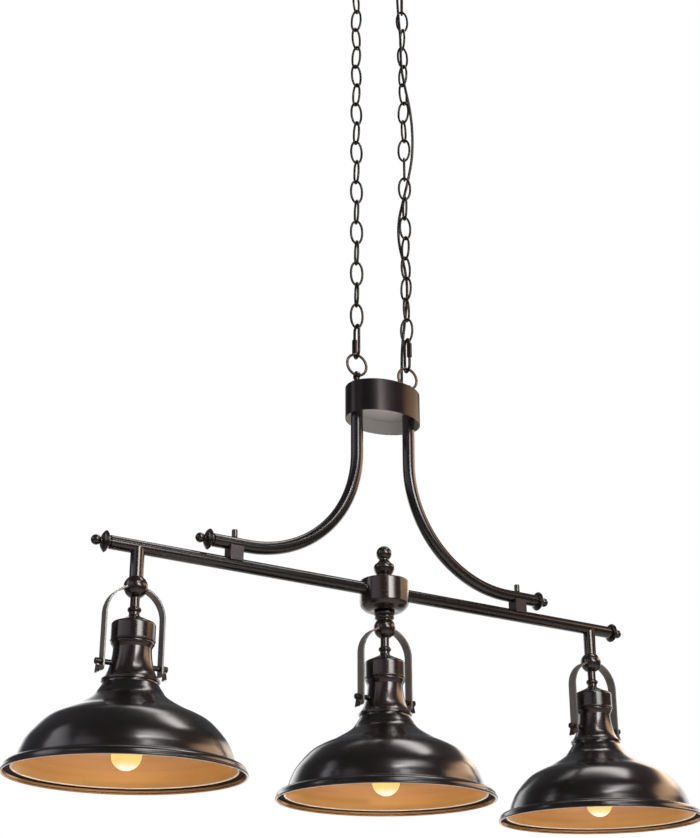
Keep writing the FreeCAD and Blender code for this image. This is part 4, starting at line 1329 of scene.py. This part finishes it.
@dataclass
class Bulb:
    """A lamp's frosted bulb."""

    diameter: float = 0.0435
    neck_diameter: float = 0.025
    joint_height: float = 0.065
    shoulder: float = 36.0
    throat_flare: float = 0.0022
    throat_depth: float = 0.010
    straight_depth: float = 0.003
    power: float = 0.8
    warmth: Triple = (1.0, 0.72, 0.34)
    steps: int = 64

    def skin(self) -> Skin:
        """The bulb's envelope, standing on its tip."""
        radius = self.diameter / 2
        neck = self.neck_diameter / 2
        top = self.joint_height
        ball = bend((0.0, radius), radius, start=-90, end=self.shoulder, steps=30)
        throat = flowing([
            ball[-1],
            (neck + self.throat_flare, top - self.throat_depth),
            (neck, top - self.straight_depth),
            (neck, top),
        ], steps=5)
        profile = [(0.0, 0.0), *ball[1:], *throat[1:], (0.0, top)]
        skin = Skin()
        skin.lathe(profile, self.steps)
        return skin

    def build(self, lamp: str) -> None:
        """Put a lamp's bulb in its holder."""
        node = lamp + "_bulb_glass"
        low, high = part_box(node)
        piece = self.skin().piece(lamp + "_lit_bulb", [GLASS])
        piece.location = ((low.x + high.x) / 2, (low.y + high.y) / 2, low.z)
        piece.visible_shadow = False
        stand_for(piece, Slot.GLASS, node)
        filament = bpy.data.lights.new(lamp + "_filament", "POINT")
        filament.energy = self.power
        filament.color = self.warmth
        filament.shadow_soft_size = self.diameter / 4
        holder = put(lamp + "_filament", filament)
        holder.location = (0.0, 0.0, self.diameter / 2)
        holder.parent = piece


@dataclass
class Metalwork:
    """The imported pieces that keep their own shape."""

    def build(self) -> None:
        """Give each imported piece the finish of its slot."""
        for row in frame["record"]["subparts"]:
            node = frame["nodes"][row["node"]]
            finish = NODE_FINISHES.get(row["node"], PLAIN_FINISHES[Slot(row["material_slot"])])
            node.data.materials.clear()
            node.data.materials.append(finish.material())
            log.info("%s is finished as %s", row["node"], finish.name)


@dataclass(frozen=True)
class Softbox:
    """One soft-edged light, placed round the pendant from the camera's side."""

    name: str
    swing: float
    rise: float
    distance: float
    width: float
    height: float
    power: float
    colour: Triple = (1.0, 1.0, 1.0)
    fade: float = 0.8

    def soften(self, lamp: bpy.types.AreaLight) -> None:
        """Let the light fade out towards its edges."""
        tree = NodeTree(lamp)
        place = tree.add("ShaderNodeNewGeometry").outputs["Parametric"]
        parts = tree.add("ShaderNodeSeparateXYZ", None, {0: place}).outputs
        across = Field(tree, parts["Y"])
        along = 1.0 - Field(tree, parts["X"]) - across
        # The product is a sixteenth in the light's middle, so this makes it 1 there.
        window = (16.0 * across * (1.0 - across) * along * (1.0 - along)) ** self.fade
        glow = tree.mixed(window.clamped(), (0.0, 0.0, 0.0, 1.0), (*self.colour, 1.0))
        tree.feed(tree.nodes["Emission"], {"Color": glow})


@dataclass
class Studio:
    """Floor, lights, backdrop and camera."""

    eye: Triple = (-1.19246, -1.84091, -2.03063)
    aim: Triple = (0.49072, 0.80172, 0.34124)
    lens: float = 60.244
    sensor: float = 36.0
    shift: float = 0.12
    floor_height: float = -2.75
    floor_size: float = 40.0
    floor_glow: Colour = (0.86, 0.86, 0.85, 1.0)
    floor_share: float = 0.8
    air: Colour = (0.9, 0.92, 1.0, 1.0)
    air_strength: float = 0.1
    white: Colour = (1.0, 1.0, 1.0, 1.0)
    centre: Triple = (0.0, 0.0, -1.3)
    softboxes: tuple[Softbox, ...] = (
        Softbox("key", 40.0, 22.0, 2.8, 2.0, 1.8, 170.0),
        Softbox("crown", 42.0, 44.0, 2.6, 2.4, 0.4, 62.0),
        Softbox("front", -22.0, 24.0, 2.9, 3.0, 2.6, 19.0, (0.92, 0.86, 1.0)),
        Softbox("fill", -60.0, 28.0, 2.8, 2.4, 2.6, 36.0, (0.92, 0.9, 1.0)),
        Softbox("back_left", -132.0, 15.0, 2.8, 3.0, 2.8, 45.0),
        Softbox("warm_edge", 130.0, 31.0, 3.2, 6.6, 1.9, 160.0, (1.0, 0.64, 0.38)),
        Softbox("backdrop", 180.0, 12.0, 3.6, 9.0, 5.0, 190.0, (1.0, 0.97, 0.94), 0.35),
        Softbox("overhead", 180.0, 84.0, 2.4, 3.0, 1.2, 80.0, (1.0, 0.97, 0.95)),
    )

    def floor(self) -> None:
        """Lay a plain floor, which the camera sees pale even where no light reaches it."""
        half = self.floor_size / 2
        corners = ((-half, -half), (half, -half), (half, half), (-half, half))
        points = [Vector((x, y, self.floor_height)) for x, y in corners]
        floor = Skin(points, [(0, 1, 2, 3)], [0]).piece("floor", [FLOOR_PAPER])
        tree = NodeTree(floor.data.materials[0])
        seen = Field(tree, tree.add("ShaderNodeLightPath").outputs["Is Camera Ray"])
        glow = tree.add("ShaderNodeEmission", None, {"Color": self.floor_glow}).outputs[0]
        paper = tree.nodes["Principled BSDF"].outputs[0]
        inputs = {0: seen * self.floor_share, 1: paper, 2: glow}
        both = tree.add("ShaderNodeMixShader", None, inputs).outputs[0]
        tree.feed(tree.nodes["Material Output"], {"Surface": both})

    def around(self, swing: float, rise: float, distance: float) -> Vector:
        """A point round the pendant.

        Args:
            swing: degrees to the camera's right.
            rise: degrees above level.
            distance: metres from the pendant's middle.

        Returns:
            The point.
        """
        back = -Vector((self.aim[0], self.aim[1], 0)).normalized()
        level = Matrix.Rotation(radians(swing), 3, "Z") @ back
        upright = Vector((0, 0, sin(radians(rise))))
        return Vector(self.centre) + distance * (level * cos(radians(rise)) + upright)

    def light(self) -> None:
        """Set the soft lights."""
        for box in self.softboxes:
            lamp = bpy.data.lights.new("softbox_" + box.name, "AREA")
            lamp.shape = "RECTANGLE"
            lamp.size = box.width
            lamp.size_y = box.height
            lamp.energy = box.power
            box.soften(lamp)
            holder = put("softbox_" + box.name, lamp)
            holder.location = self.around(box.swing, box.rise, box.distance)
            toward = Vector(self.centre) - holder.location
            holder.rotation_euler = toward.to_track_quat("-Z", "Y").to_euler()
            holder.visible_camera = False

    def backdrop(self) -> None:
        """Surround the pendant by a white backdrop that lights it only softly."""
        world = bpy.data.worlds.new("backdrop")
        tree = NodeTree(world)
        tree.nodes.clear()
        seen = tree.add("ShaderNodeLightPath").outputs["Is Camera Ray"]
        inputs = {"Color": self.air, "Strength": self.air_strength}
        air = tree.add("ShaderNodeBackground", None, inputs).outputs[0]
        white = tree.add("ShaderNodeBackground", None, {"Color": self.white}).outputs[0]
        both = tree.add("ShaderNodeMixShader", None, {0: seen, 1: air, 2: white}).outputs[0]
        tree.add("ShaderNodeOutputWorld", None, {0: both})
        bpy.context.scene.world = world

    def camera(self) -> None:
        """Stand the camera where the photograph was taken."""
        data = bpy.data.cameras.new("photo_camera")
        data.lens = self.lens
        data.sensor_width = self.sensor
        data.shift_y = self.shift
        camera = put("photo_camera", data)
        camera.location = self.eye
        camera.rotation_euler = Vector(self.aim).to_track_quat("-Z", "Y").to_euler()
        bpy.context.scene.camera = camera

    def build(self) -> None:
        """Set up the whole studio."""
        self.camera()
        self.floor()
        self.light()
        self.backdrop()
        bpy.context.scene.view_settings.view_transform = "Standard"


def main() -> None:
    """Build the studio and dress the pendant."""
    logging.basicConfig(level=logging.INFO, format="%(name)s: %(message)s")
    Studio().build()
    SupplyCord().build()
    Metalwork().build()
    WireSuspension().build()
    shade = SpunShade()
    bulb = Bulb()
    for lamp in LAMPS:
        shade.build(lamp)
        bulb.build(lamp)


if __name__ == "__main__":
    main()
